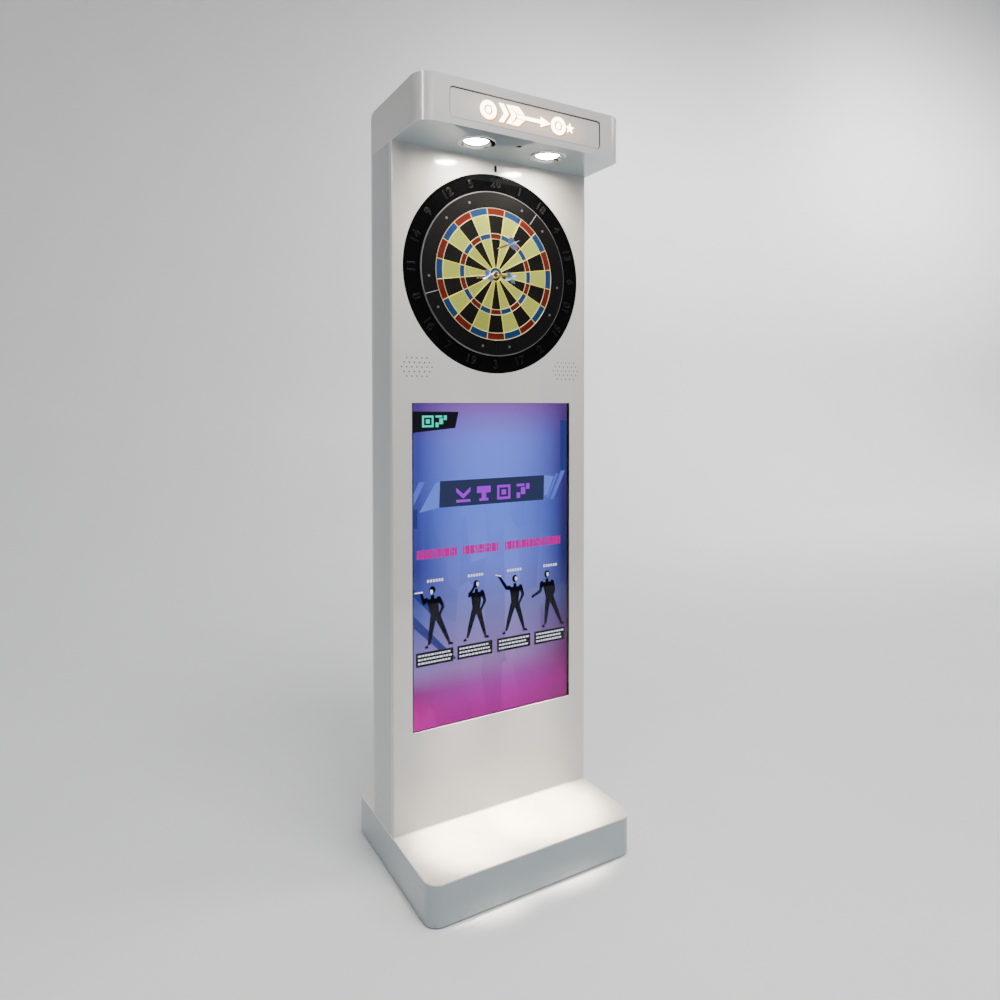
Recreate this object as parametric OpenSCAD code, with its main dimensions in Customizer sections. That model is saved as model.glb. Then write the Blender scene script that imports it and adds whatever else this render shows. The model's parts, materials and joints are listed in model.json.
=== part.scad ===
// Electronic dartboard: a free-standing cabinet with a soft-tip target, a
// tall screen below it, a lit canopy above it and a wide base to stand on.
// Millimetres. +Z is up, -Y is the player's side, +X is to the player's right.
// The origin is the middle of the footprint, on the floor.

/* [Cabinet] */
// Overall width of the machine
width = 660; // [640:1:700]
// Overall height from the floor to the top of the canopy
height = 2196; // [2180:1:2260]
// Depth of the cabinet from its face to its back
cabinet_d = 165.5; // [160:0.5:200]
// Thickness of the painted steel sheet
sheet_t = 3; // [2:0.5:3.5]
// Radius of the cabinet's vertical edges
edge_r = 4; // [4:0.5:8]
// How far the front and back sheets fold round to the sides
fold_d = 16; // [10:1:25]

/* [Base] */
// Depth of the base from front to back
base_d = 556; // [540:1:600]
// Height of the base's top above the floor
base_h = 116; // [105:1:130]
// Radius of the base's corners seen from above
base_r = 42; // [30:1:60]
// Distance from the base's front edge to the cabinet's face
step_d = 249; // [240:1:260]
// Thickness of the steel ballast plate
ballast_t = 8; // [6:1:12]
// How far each levelling foot screws out
foot_travel = 12; // [8:1:12]

/* [Canopy] */
// Height of the canopy
canopy_h = 125; // [115:1:135]
// How far the canopy stands out from the cabinet's face
canopy_out = 194; // [180:1:210]
// Radius of the canopy's front corners seen from above
canopy_r = 51; // [40:1:60]
// Radius of the canopy's upper back edge
crown_r = 30; // [20:1:34]
// Spacing of the two downlights
lamp_gap = 236; // [220:1:260]

/* [Target] */
// Height of the bull above the floor
bull_z = 1730; // [1725:1:1735]
// Outer radius of the scoring area
target_r = 197; // [195:0.5:198]
// Outer radius of the catch ring round the target
catch_r = 244; // [242:0.5:246]
// Outer radius of the number ring
number_r = 297; // [290:0.5:298]
// Thickness of the spider's walls
web_t = 1.4; // [1:0.1:1.8]
// Gap between a segment and the spider
web_gap = 0.3; // [0.25:0.05:0.4]
// Travel of a segment when a dart hits it
press_d = 1.5; // [1:0.1:1.6]

/* [Screen] */
// Width of the screen window
screen_w = 541.6; // [530:0.1:560]
// Height of the screen window
screen_h = 943.5; // [930:0.1:960]
// Height of the window's lower edge above the floor
screen_z = 400.8; // [395:0.1:410]

/* [Back] */
// Width of the service door
door_w = 480; // [440:5:500]
// Height of the service door
door_h = 1100; // [1000:10:1150]
// Height of the door's lower edge above the floor
door_z = 420; // [410:5:450]

/* [Hidden] */
half_w = width / 2;
front_y = -base_d / 2;
face_y = front_y + step_d;
back_y = face_y + cabinet_d;
inner_y = face_y + sheet_t;
inner_back_y = back_y - sheet_t;
canopy_y = face_y - canopy_out;
canopy_z = height - canopy_h;
skirt_z = 4;
base_plate_t = 4;

// Scores clockwise from the top
SCORES = [20, 1, 18, 4, 13, 6, 10, 15, 2, 17, 3, 19, 7, 16, 8, 11, 14, 9, 12, 5];
sector_a = 360 / len(SCORES);
// Radii of the spider's rings, from the bull outwards
RINGS = [9.5, 20.7, 105.5, 121.5, 176, target_r];
cut = web_t / 2 + web_gap;
web_y = face_y - 3;
segment_y = face_y - 2;
segment_t = 12;
membrane_y = segment_y + segment_t + press_d + 0.4;
housing_y = face_y + 14;
housing_r = number_r + 8;

// Each dart: its tip on the target as [x, z] from the bull, and its direction outwards
DART_TIPS = [[6, 78], [4.5, 1], [-64, -16]];
DART_LEANS = [[-22, -140, -12], [-25, -140, -36], [-29, -140, -16]];
dart_in = 6;
// Which segment each dart is stuck in; the number 20 stands for the inner bull
DART_HOLDERS = [0, 20, 14];

lamp_y = face_y - 102.5;
lamp_hole_r = 50;
lens_r = 46.4;
camera_at = [2.4, face_y - 133.6];
camera_r = 8;
eye_z = 2045;
speaker_at = [255, 1446];
hole_pitch = [15.5, 13];
display_t = 20;
rail_t = 18;
// Free space left round the display by the edge of the glass
glass_lap = 9;
sign_w = 488;
sign_h = 81;
sign_z = canopy_z + 58.5;

door_x = door_w / 2;
hinge_x = door_x + 8;
hinge_y = back_y + 7;
HINGES = [door_z + 150, door_z + door_h - 150];
pin_r = 3;
pin_gap = 0.05;
knuckle_h = 30;
lock_x = -door_x + 40;
lock_z = door_z + door_h / 2;
lock_r = 9;

// The vent slots: eight rows in two columns
vent_x = 130;
vent_z = 1660;
vent_w = 134;
vent_pitch = 22;
rib_x = 110;
rib_d = 12;

inlet_x = 150;
inlet_z = 270;
// Boxes inside the cabinet as [x, y, z] sizes
supply_size = [215, 110, 50];
controller_size = [200, 45, 190];
board_gap = 30;
foot_x = half_w - 60;
foot_y = base_d / 2 - 60;
stud_r = 6;
wide = 180;
fine = 48;

// ---- Shared shapes ----

// A rectangle with round corners, centred on the origin
module rounded_rect(w, d, r) {
    square([w - 2 * r, d], center = true);
    square([w, d - 2 * r], center = true);
    for (x = [-1, 1], y = [-1, 1])
        translate([x * (w / 2 - r), y * (d / 2 - r)]) circle(r = r, $fn = 96);
}

// Extrudes a drawing of x and z, starting at y and going back by t
module upright(y, t) {
    translate([0, y + t, 0]) rotate([90, 0, 0]) linear_extrude(t) children();
}

// Extrudes a drawing of y and z along x, centred
module across(w) {
    rotate([90, 0, 90]) translate([0, 0, -w / 2]) linear_extrude(w) children();
}

// Turns a profile of radius and depth round the axis through the bull
module about_bull(y) {
    translate([0, y, bull_z]) rotate([-90, 0, 0]) rotate_extrude($fn = wide) children();
}

// A rod along +Y
module rod_y(r, t) {
    rotate([-90, 0, 0]) cylinder(r = r, h = t, $fn = fine);
}

module annulus(r_in, r_out) {
    difference() {
        circle(r = r_out, $fn = wide);
        circle(r = r_in, $fn = wide);
    }
}

// ---- Base ----

module base_plan(inset) {
    rounded_rect(width - 2 * inset, base_d - 2 * inset, base_r - inset);
}

module base_shell() color("gainsboro")
    translate([0, 0, skirt_z]) linear_extrude(base_h - base_plate_t - skirt_z)
        difference() {
            base_plan(0);
            base_plan(sheet_t);
        }

module base_top() color("white")
    translate([0, 0, base_h - base_plate_t]) linear_extrude(base_plate_t) base_plan(0);

module ballast_plate() color("dimgray") difference() {
    translate([0, 0, 12]) linear_extrude(ballast_t) base_plan(sheet_t + 0.5);
    for (x = [-1, 1], y = [-1, 1])
        translate([x * foot_x, y * foot_y, 0])
            cylinder(r = stud_r + pin_gap, h = 12 + 2 * ballast_t, $fn = fine);
}

// A levelling foot: rubber-shod pad, neck and stud, placed by the signs of x and y
module levelling_foot(x, y) color("dimgray") translate([x * foot_x, y * foot_y, 0]) {
    cylinder(r = 22, h = 5, $fn = fine);
    translate([0, 0, 5]) cylinder(r = 12, h = 6.7, $fn = fine);
    translate([0, 0, 11.7]) cylinder(r = stud_r, h = 58, $fn = fine);
}

// ---- Cabinet ----

// The cabinet's sheet seen from above, between two depths
module cabinet_ring(y_from, y_to) {
    intersection() {
        translate([0, face_y + cabinet_d / 2]) difference() {
            rounded_rect(width, cabinet_d, edge_r);
            rounded_rect(width - 2 * sheet_t, cabinet_d - 2 * sheet_t, edge_r - sheet_t + 0.01);
        }
        translate([-half_w - 1, y_from]) square([width + 2, y_to - y_from]);
    }
}

module cabinet_wall(y_from, y_to) {
    translate([0, 0, base_h]) linear_extrude(canopy_z - base_h) cabinet_ring(y_from, y_to);
}

module left_side_panel() color("silver") intersection() {
    cabinet_wall(face_y + fold_d, back_y - fold_d);
    translate([-width, -base_d, 0]) cube([width, 2 * base_d, height]);
}

module right_side_panel() color("silver") intersection() {
    cabinet_wall(face_y + fold_d, back_y - fold_d);
    translate([0, -base_d, 0]) cube([width, 2 * base_d, height]);
}

// Five rows of small holes in a hexagon, in front of a speaker
module speaker_holes() {
    for (row = [-2 : 2]) {
        n = 7 - abs(row);
        for (i = [0 : n - 1])
            translate([(i - (n - 1) / 2) * hole_pitch[0], row * hole_pitch[1]]) circle(r = 2.3, $fn = 24);
    }
}

// The camera's upright eye slot above the target
module eye_slot() {
    square([9, 11], center = true);
    for (side = [-1, 1]) translate([0, side * 5.5]) circle(r = 4.5, $fn = fine);
}

module front_panel() color("whitesmoke") difference() {
    cabinet_wall(face_y, face_y + fold_d);
    upright(face_y - 1, sheet_t + 2) {
        translate([0, bull_z]) circle(r = number_r + 0.3, $fn = wide);
        translate([-screen_w / 2, screen_z]) square([screen_w, screen_h]);
        translate([0, eye_z]) eye_slot();
        for (side = [-1, 1]) translate([side * speaker_at[0], speaker_at[1]]) speaker_holes();
    }
}

module vent_slots() {
    for (side = [-1, 1], row = [0 : 7])
        translate([side * vent_x, vent_z + row * vent_pitch]) {
            square([vent_w, 6], center = true);
            for (end = [-1, 1]) translate([end * vent_w / 2, 0]) circle(r = 3, $fn = 24);
        }
}

// A fixed hinge knuckle from z upwards, with the bent strap that holds it to the back sheet
module knuckle(z) {
    strap = 20;
    translate([hinge_x, hinge_y, z]) difference() {
        union() {
            cylinder(r = 6, h = knuckle_h, $fn = fine);
            translate([0, -4, 0]) cube([strap, 4, knuckle_h]);
            translate([strap - 3, back_y - hinge_y, 0]) cube([3, hinge_y - back_y - 3, knuckle_h]);
        }
        translate([0, 0, -1]) cylinder(r = pin_r + pin_gap, h = knuckle_h + 2, $fn = fine);
    }
}

module rear_panel() color("silver") {
    difference() {
        cabinet_wall(back_y - fold_d, back_y);
        upright(inner_back_y - 1, sheet_t + 2) {
            translate([-door_x + 15, door_z + 15]) square([door_w - 30, door_h - 30]);
            vent_slots();
            translate([inlet_x, inlet_z]) square([62, 32], center = true);
        }
    }
    for (z = HINGES, side = [-1, 1])
        knuckle(z + side * (knuckle_h + 0.5) - knuckle_h / 2);
}

module hinge_pins() color("darkgray")
    for (z = HINGES) translate([hinge_x, hinge_y, z]) {
        translate([0, 0, -1.6 * knuckle_h]) cylinder(r = pin_r, h = 3.2 * knuckle_h, $fn = fine);
        translate([0, 0, 1.6 * knuckle_h]) cylinder(r = 5, h = 3, $fn = fine);
    }

module rear_door() color("lightgray") {
    difference() {
        union() {
            translate([-door_x, back_y + 0.4, door_z]) cube([door_w, sheet_t, door_h]);
            // Two stiffening channels on the inside of the sheet
            for (x = [-rib_x, rib_x]) translate([x, back_y - rib_d, door_z + 40]) {
                translate([-15, 0, 0]) cube([30, 2, door_h - 80]);
                for (wall = [-15, 13]) translate([wall, 0, 0]) cube([2, rib_d + 0.4, door_h - 80]);
            }
        }
        translate([lock_x, back_y - 20, lock_z]) rod_y(lock_r + pin_gap, 40);
    }
    for (z = HINGES) difference() {
        translate([hinge_x, hinge_y, z - knuckle_h / 2]) {
            cylinder(r = 6, h = knuckle_h, $fn = fine);
            translate([-30, back_y + 0.4 + sheet_t - hinge_y, 0]) cube([30, 2, knuckle_h]);
        }
        translate([hinge_x, hinge_y, z - knuckle_h]) cylinder(r = pin_r + pin_gap, h = 2 * knuckle_h, $fn = fine);
    }
}

// The lock's barrel and collar outside, and its cam inside, standing upright when open
module cam_lock() color("darkgray") translate([lock_x, 0, lock_z]) {
    translate([0, back_y - 7, 0]) rod_y(lock_r, 7 + 0.5 + sheet_t);
    translate([0, back_y + 0.5 + sheet_t, 0]) difference() {
        rod_y(12, 4);
        translate([-1, 2, -5]) cube([2, 3, 10]);
    }
    translate([-7, back_y - 7, 0]) cube([14, 3, 44]);
}

// ---- Canopy ----

// The canopy's outline from above, inset by the wall: round in front, tight behind
module canopy_plan(inset) {
    r = canopy_r - inset;
    w = half_w - inset;
    y0 = canopy_y + inset;
    y1 = back_y - inset;
    back_r = edge_r - inset + 0.01;
    translate([-w + r, y0]) square([2 * (w - r), y1 - y0]);
    translate([-w, y0 + r]) square([2 * w, y1 - y0 - r - back_r]);
    for (side = [-1, 1]) {
        translate([side * (w - r), y0 + r]) circle(r = r, $fn = 128);
        translate([side * (w - back_r), y1 - back_r]) circle(r = back_r, $fn = fine);
    }
    translate([-w + back_r, y1 - r]) square([2 * (w - back_r), r]);
}

// The canopy's side profile: square in front, round over the upper back edge
module canopy_profile(inset) {
    r = crown_r - inset;
    y0 = canopy_y - 1;
    y1 = back_y - inset;
    z1 = height - inset;
    translate([y0, canopy_z - 1]) square([y1 - r - y0, z1 - canopy_z + 1]);
    translate([y0, canopy_z - 1]) square([y1 - y0, z1 - r - canopy_z + 1]);
    translate([y1 - r, z1 - r]) circle(r = r, $fn = 128);
}

module canopy_block(inset, z_from) {
    intersection() {
        translate([0, 0, z_from]) linear_extrude(height - inset - z_from) canopy_plan(inset);
        across(width + 2) canopy_profile(inset);
    }
}

module canopy_shell() color("gainsboro") difference() {
    canopy_block(0, canopy_z);
    canopy_block(sheet_t, canopy_z - 0.5);
    translate([0, 0, sign_z]) upright(canopy_y - 1, sheet_t + 2) rounded_rect(sign_w, sign_h, 12);
}

module canopy_soffit() color("lightsteelblue")
    translate([0, 0, canopy_z]) linear_extrude(sheet_t) difference() {
        intersection() {
            canopy_plan(sheet_t);
            translate([-half_w, canopy_y]) square([width, canopy_out + fold_d]);
        }
        for (side = [-1, 1]) translate([side * lamp_gap / 2, lamp_y]) circle(r = lamp_hole_r, $fn = 128);
        translate(camera_at) circle(r = camera_r + 0.6, $fn = fine);
    }

module sign_face() color("seashell") translate([0, 0, sign_z])
    upright(canopy_y + sheet_t, 2) rounded_rect(sign_w + 20, sign_h + 18, 12);

module sign_lamp_board() color("white") translate([0, 0, sign_z]) {
    upright(canopy_y + sheet_t + 22, 1.6) square([420, 60], center = true);
    for (i = [-6 : 6], row = [-1, 1])
        upright(canopy_y + sheet_t + 20, 2) translate([i * 32, row * 14]) square(5, center = true);
}

module lamp_bezels() color("white")
    for (side = [-1, 1]) translate([side * lamp_gap / 2, lamp_y, canopy_z])
        rotate_extrude($fn = 128) polygon([[36, 6], [40, -1], [42, -3], [53, -3], [55, -1], [55, 0],
            [49.7, 0], [49.7, 34], [0, 34], [0, 31], [46.7, 31], [46.7, 6]]);

module lamp_lenses() color("lightyellow")
    for (side = [-1, 1]) translate([side * lamp_gap / 2, lamp_y, canopy_z + 8])
        cylinder(r = lens_r, h = 3, $fn = 128);

// Two small cameras: one looks down at the oche side, one looks out through the eye slot
module overhead_camera() color("black") {
    translate([camera_at[0], camera_at[1], canopy_z]) {
        translate([-16, -16, sheet_t + 1]) cube([32, 32, 18]);
        cylinder(r = camera_r, h = sheet_t + 1, $fn = fine);
    }
    translate([-16, inner_y + 6, eye_z - 7]) cube([32, 16, 28]);
    translate([0, inner_y - 1, eye_z]) rod_y(4, 7);
}

// ---- Target ----

module number_ring() color("black")
    about_bull(face_y) polygon([[catch_r + 0.5, 0.4], [catch_r + 1, 0], [number_r - 0.5, 0], [number_r, 0.5],
        [number_r, sheet_t], [catch_r + 0.5, sheet_t]]);

JOINTS = [for (i = [0 : 4]) 54 + 72 * i];

// The catch ring: five arcs with a thin joint between them
module catch_ring() color("black") difference() {
    about_bull(face_y) polygon([[target_r + 0.9, -3], [target_r + 1.9, -4], [catch_r - 1.5, -4],
        [catch_r, -2.5], [catch_r, 14], [target_r + 0.9, 14]]);
    for (a = JOINTS) translate([0, face_y - 5, bull_z]) rotate([0, -a, 0])
        translate([target_r - 5, 0, -0.4]) cube([60, 25, 0.8]);
    for (a = JOINTS, side = [-1, 1]) translate([0, face_y - 5, bull_z]) rotate([0, -a - side * 12, 0])
        translate([(target_r + catch_r) / 2, 0, 0]) rod_y(2, 30);
}

module catch_screws() color("silver")
    for (a = JOINTS, side = [-1, 1]) translate([0, face_y - 5, bull_z]) rotate([0, -a - side * 12, 0])
        translate([(target_r + catch_r) / 2, 0, 0]) difference() {
            union() {
                rod_y(3.6, 1);
                rod_y(1.9, 18);
            }
            translate([-0.5, -0.1, -2.4]) cube([1, 0.6, 4.8]);
        }

module spider() color("khaki") {
    upright(web_y, membrane_y - web_y) translate([0, bull_z]) {
        for (i = [0 : 4]) annulus(RINGS[i] - web_t / 2, RINGS[i] + web_t / 2);
        annulus(target_r - web_t / 2, target_r + 0.8);
        for (i = [0 : len(SCORES) - 1]) rotate(sector_a * (i + 0.5))
            translate([RINGS[1], -web_t / 2]) square([target_r - RINGS[1], web_t]);
    }
}

// A wedge between two spider walls, for the sector centred on angle a
module wedge(a) {
    half = sector_a / 2;
    apex = cut / sin(half);
    far = target_r + 30;
    points = [[apex, 0], [apex + far * cos(half), far * sin(half)], [apex + far * cos(half), -far * sin(half)]];
    rotate(a) polygon(points);
}

// The slanted hole that dart i has made its seat
module dart_hole(i) {
    on_dart(i) translate([0, 0, -dart_in - 1]) cylinder(r = 1.7, h = dart_in + 3, $fn = 24);
}

// Puts its children at dart i's tip with +Z along the dart, outwards
module on_dart(i) {
    lean = DART_LEANS[i];
    translate([DART_TIPS[i][0], segment_y, bull_z + DART_TIPS[i][1]])
        rotate([0, acos(lean[2] / norm(lean)), atan2(lean[1], lean[0])]) children();
}

// One number's four segments: inner single, triple, outer single and double
module segment(k) {
    color(k % 2 == 0 ? "black" : "palegoldenrod") difference() {
        upright(segment_y, segment_t) translate([0, bull_z]) for (i = [1 : 4]) intersection() {
            annulus(RINGS[i] + cut, RINGS[i + 1] - cut);
            wedge(90 - sector_a * k);
        }
        for (i = [0 : 2]) if (DART_HOLDERS[i] == k) dart_hole(i);
    }
}

module outer_bull() color("steelblue")
    upright(segment_y, segment_t) translate([0, bull_z]) annulus(RINGS[0] + cut, RINGS[1] - cut);

module inner_bull() color("darkred") difference() {
    upright(segment_y, segment_t) translate([0, bull_z]) circle(r = RINGS[0] - cut, $fn = fine);
    dart_hole(1);
}

module sensor_membrane() color("darkgreen")
    about_bull(membrane_y) square([target_r - 1, housing_y - membrane_y]);

module board_housing() color("dimgray") {
    about_bull(housing_y) square([housing_r, 6]);
    about_bull(inner_y) polygon([[catch_r + 1.5, 0], [housing_r, 0], [housing_r, housing_y - inner_y],
        [catch_r + 1.5, housing_y - inner_y]]);
}

// ---- Screen, sound and electronics ----

module screen_glass() color("black")
    upright(inner_y, 4) translate([0, screen_z + screen_h / 2])
        square([screen_w + 2 * glass_lap, screen_h + 2 * glass_lap], center = true);

module display_panel() color("midnightblue")
    upright(inner_y + 5, display_t) translate([0, screen_z + screen_h / 2])
        square([screen_w + 2 * glass_lap, screen_h + 26], center = true);

module display_rails() color("silver")
    for (z = [screen_z + 200, screen_z + screen_h - 200])
        translate([-half_w + sheet_t, inner_y + 5 + display_t, z - 20]) cube([width - 2 * sheet_t, rail_t, 40]);

module speakers() color("black")
    for (side = [-1, 1]) translate([side * speaker_at[0], inner_y, speaker_at[1]]) {
        rod_y(36, 6);
        translate([0, 6, 0]) rod_y(28, 18);
        translate([0, 24, 0]) rod_y(20, 12);
    }

module power_supply() color("silver")
    translate([-250, face_y + board_gap, base_h]) cube(supply_size);

module game_controller() color("black")
    translate([40, face_y + board_gap, base_h]) cube(controller_size);

// The mains socket and the frame of its switch, as one moulding through the back
module power_inlet() color("black") translate([inlet_x, 0, inlet_z]) {
    difference() {
        union() {
            upright(back_y, 2.5) square([70, 40], center = true);
            upright(back_y - 26, 26) square([60, 30], center = true);
        }
        upright(back_y - 22, 30) {
            translate([-12, 0]) square([26, 17], center = true);
            translate([16, 0]) square([18, 24], center = true);
        }
    }
    upright(back_y - 22, 12) for (pin = [[-19, -2], [-5, -2], [-12, 2]])
        translate(pin) square([2, 4], center = true);
}

// The rocker turns about its short axis and shows a shallow V
module rocker_switch() color("darkred")
    translate([inlet_x + 16, back_y - 6, inlet_z]) rotate([-10, 0, 0]) rotate([0, 90, 0])
        translate([0, 0, -8]) linear_extrude(16) intersection() {
            circle(r = 11, $fn = 96);
            polygon([[-11, -8], [11, -8], [11, 7.5], [0, 4.5], [-11, 7.5]]);
        }

// ---- Darts ----

// A soft-tip dart: nylon point, ribbed barrel, stem and four flights
module dart(i) color("lightblue") on_dart(i) {
    translate([0, 0, -dart_in]) cylinder(r1 = 0.6, r2 = 1.2, h = dart_in, $fn = 24);
    cylinder(r1 = 1.2, r2 = 2.4, h = 24, $fn = 24);
    translate([0, 0, 24]) cylinder(r = 3.3, h = 46, $fn = fine);
    translate([0, 0, 70]) cylinder(r1 = 2.8, r2 = 2, h = 36, $fn = fine);
    for (a = [0 : 90 : 270]) rotate([90, 0, a + 45]) translate([0, 0, -0.35]) linear_extrude(0.7)
        polygon([[0, 98], [6, 98], [17, 112], [17, 136], [12, 142], [0, 142]]);
}

// ---- What to draw ----

base_shell();
base_top();
ballast_plate();
front_panel();
left_side_panel();
right_side_panel();
rear_panel();
rear_door();
hinge_pins();
cam_lock();
canopy_shell();
canopy_soffit();
sign_face();
sign_lamp_board();
lamp_bezels();
lamp_lenses();
overhead_camera();
speakers();
number_ring();
catch_ring();
catch_screws();
spider();
sensor_membrane();
board_housing();
screen_glass();
display_panel();
display_rails();
power_inlet();
rocker_switch();
power_supply();
game_controller();
levelling_foot(-1, -1);  // foot_front_left
levelling_foot(1, -1);  // foot_front_right
levelling_foot(-1, 1);  // foot_rear_left
levelling_foot(1, 1);  // foot_rear_right
dart(0);  // dart_1
dart(1);  // dart_2
dart(2);  // dart_3
outer_bull();
inner_bull();
for (k = [0 : len(SCORES) - 1])
    segment(k);
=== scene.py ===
# %% [markdown]
# # A free-standing electronic dartboard
# A white sheet-steel cabinet holds a soft-tip target, a tall screen and a lit canopy, and stands on
# a wide base. Every sheet, frame and moving piece comes from the CAD frame; this file gives them
# their finishes and adds the fine work: the drilled segments, the spider, the numbers, the picture
# on the screen, the lamps and the darts. Lengths are metres, +Z is up and -Y is the player's side.

# %% Load the frame
import bpy, bmesh, json, math, random
from mathutils import Matrix, Vector


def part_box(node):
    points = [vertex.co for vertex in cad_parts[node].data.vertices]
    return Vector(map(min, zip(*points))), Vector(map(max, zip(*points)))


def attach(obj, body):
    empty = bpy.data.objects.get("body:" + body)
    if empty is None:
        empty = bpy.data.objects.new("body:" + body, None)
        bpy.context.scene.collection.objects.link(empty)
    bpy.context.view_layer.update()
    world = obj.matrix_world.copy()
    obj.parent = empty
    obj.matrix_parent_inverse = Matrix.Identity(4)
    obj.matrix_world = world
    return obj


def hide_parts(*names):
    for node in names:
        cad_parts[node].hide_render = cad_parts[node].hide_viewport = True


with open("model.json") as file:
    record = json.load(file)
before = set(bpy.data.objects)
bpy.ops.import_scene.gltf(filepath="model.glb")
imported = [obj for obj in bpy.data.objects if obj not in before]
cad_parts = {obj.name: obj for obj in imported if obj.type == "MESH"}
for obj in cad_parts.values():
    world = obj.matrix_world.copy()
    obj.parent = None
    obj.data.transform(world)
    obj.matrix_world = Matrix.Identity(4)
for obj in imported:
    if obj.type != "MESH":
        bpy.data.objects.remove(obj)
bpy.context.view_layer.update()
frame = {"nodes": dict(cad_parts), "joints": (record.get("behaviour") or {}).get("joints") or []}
scene = bpy.context.scene
NODES = frame["nodes"]
MM = 0.001
print("nodes loaded:", len(NODES))

# %% [markdown]
# ## Where things are
# Each place is read from the frame, so that nothing has to be fitted by eye: the target's centre is
# the middle of the number ring, and the cabinet's face is the front of its front sheet.

# %% Main places
FACE_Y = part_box("front_panel")[0].y
BULL = sum(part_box("number_ring"), Vector()) / 2
BULL.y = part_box("segment_20")[0].y
TARGET_R = 0.197
SCORES = [20, 1, 18, 4, 13, 6, 10, 15, 2, 17, 3, 19, 7, 16, 8, 11, 14, 9, 12, 5]
print("bull at", tuple(round(v, 4) for v in BULL), "face at y", round(FACE_Y, 4))

# %% [markdown]
# ## Camera
# The machine is seen from its left, from a little below its middle. A wide lens close to the
# object makes the base look larger than the canopy; the shift frames it without tilting.

# %% Camera
camera_data = bpy.data.cameras.new("camera")
camera_data.lens, camera_data.sensor_width = 26.498, 36
camera_data.shift_x, camera_data.shift_y = -0.01884, -0.08143
camera = bpy.data.objects.new("camera", camera_data)
camera.location = (-1.0797, FACE_Y - 1.9397, 1.3399)
camera.rotation_euler = (math.radians(90 - 1.103), 0, math.radians(-30.905))
scene.collection.objects.link(camera)
scene.camera = camera

# %% [markdown]
# ## Small helpers
# A node tree is a list of nodes and the links between them. `add` makes one node and fills its
# inputs: a plain value sets a socket, and another node's output is linked to it. `new_tree` starts
# a group with named inputs and outputs. The others each stand for one node that is used often, and
# give back its first output.

# %% Node helpers
FLOAT, COLOR, INTEGER = "NodeSocketFloat", "NodeSocketColor", "NodeSocketInt"
GEOMETRY, MATERIAL, OBJECT = "NodeSocketGeometry", "NodeSocketMaterial", "NodeSocketObject"
SHADER_TREE, GEOMETRY_TREE = "ShaderNodeTree", "GeometryNodeTree"


def add(tree, kind, inputs=None, **settings):
    node = tree.nodes.new(kind)
    for name, value in settings.items():
        setattr(node, name, value)
    for name, value in (inputs or {}).items():
        if isinstance(value, bpy.types.NodeSocket):
            tree.links.new(value, node.inputs[name])
        else:
            node.inputs[name].default_value = value
    return node


def new_tree(name, kind, inputs, outputs):
    """Each input is a name with its first value, or with a socket type where it has none."""
    tree = bpy.data.node_groups.new(name, kind)
    for label, value in inputs.items():
        socket = {float: FLOAT, int: INTEGER, tuple: COLOR}.get(type(value), value)
        item = tree.interface.new_socket(name=label, in_out="INPUT", socket_type=socket)
        if socket != value:
            item.default_value = value
    for label, socket in outputs.items():
        tree.interface.new_socket(name=label, in_out="OUTPUT", socket_type=socket)
    return tree, tree.nodes.new("NodeGroupInput").outputs, tree.nodes.new("NodeGroupOutput").inputs


def wire(tree, sockets, sources):
    for name, source in sources.items():
        tree.links.new(source, sockets[name])


def here(tree):
    return add(tree, "ShaderNodeTexCoord").outputs["Object"]


def calc(tree, operation, a, b=0.0, clamp=False):
    return add(tree, "ShaderNodeMath", {0: a, 1: b}, operation=operation, use_clamp=clamp).outputs[0]


def times(tree, a, b, clamp=False):
    return calc(tree, "MULTIPLY", a, b, clamp)


def mix(tree, factor, first, second):
    node = add(tree, "ShaderNodeMix", {"Factor": factor, 6: first, 7: second}, data_type="RGBA")
    return node.outputs[2]


def remap(tree, value, low, high, to_low=0.0, to_high=1.0):
    return add(tree, "ShaderNodeMapRange", {"Value": value, "From Min": low, "From Max": high,
                                            "To Min": to_low, "To Max": to_high}).outputs[0]


def noise(tree, scale, detail, at=None, **more):
    vector = here(tree) if at is None else at
    return add(tree, "ShaderNodeTexNoise",
               {"Vector": vector, "Scale": scale, "Detail": detail, **more}).outputs[0]


def axis_of(tree, vector, letter):
    return add(tree, "ShaderNodeSeparateXYZ", {0: vector}).outputs[letter]


def vector_of(tree, **parts):
    return add(tree, "ShaderNodeCombineXYZ", parts).outputs[0]


def rgb(code):
    """A linear colour from a six-digit sRGB code."""
    parts = [int(code[i:i + 2], 16) / 255 for i in (0, 2, 4)]
    return tuple(p / 12.92 if p <= 0.04045 else ((p + 0.055) / 1.055) ** 2.4 for p in parts) + (1,)

# %% [markdown]
# ## Effects that several finishes share
# Real paint and plastic are never quite even. Each effect is one shader group, built once and given
# its own numbers in every material: `orange_peel` is the slow ripple of powder coat, `grain` is the
# texture that a mould leaves, `dust` settles on faces that look up, and `floor_grime` is the dirt
# that shoes and mops leave near the floor.

# %% Orange peel and grain
MID_GREY = (0.5, 0.5, 0.5, 1.0)


def make_orange_peel():
    tree, given, out = new_tree("orange_peel", SHADER_TREE,
                                {"Size": 0.003, "Roughness": 0.2, "Variation": 0.05},
                                {"Height": FLOAT, "Roughness": FLOAT})
    cloud = calc(tree, "SUBTRACT", noise(tree, 5.0, 4.0), 0.5)
    shift = times(tree, cloud, given["Variation"])
    wire(tree, out, {"Height": noise(tree, calc(tree, "DIVIDE", 1.0, given["Size"]), 1.0),
                     "Roughness": calc(tree, "ADD", given["Roughness"], shift, clamp=True)})
    return tree


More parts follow.
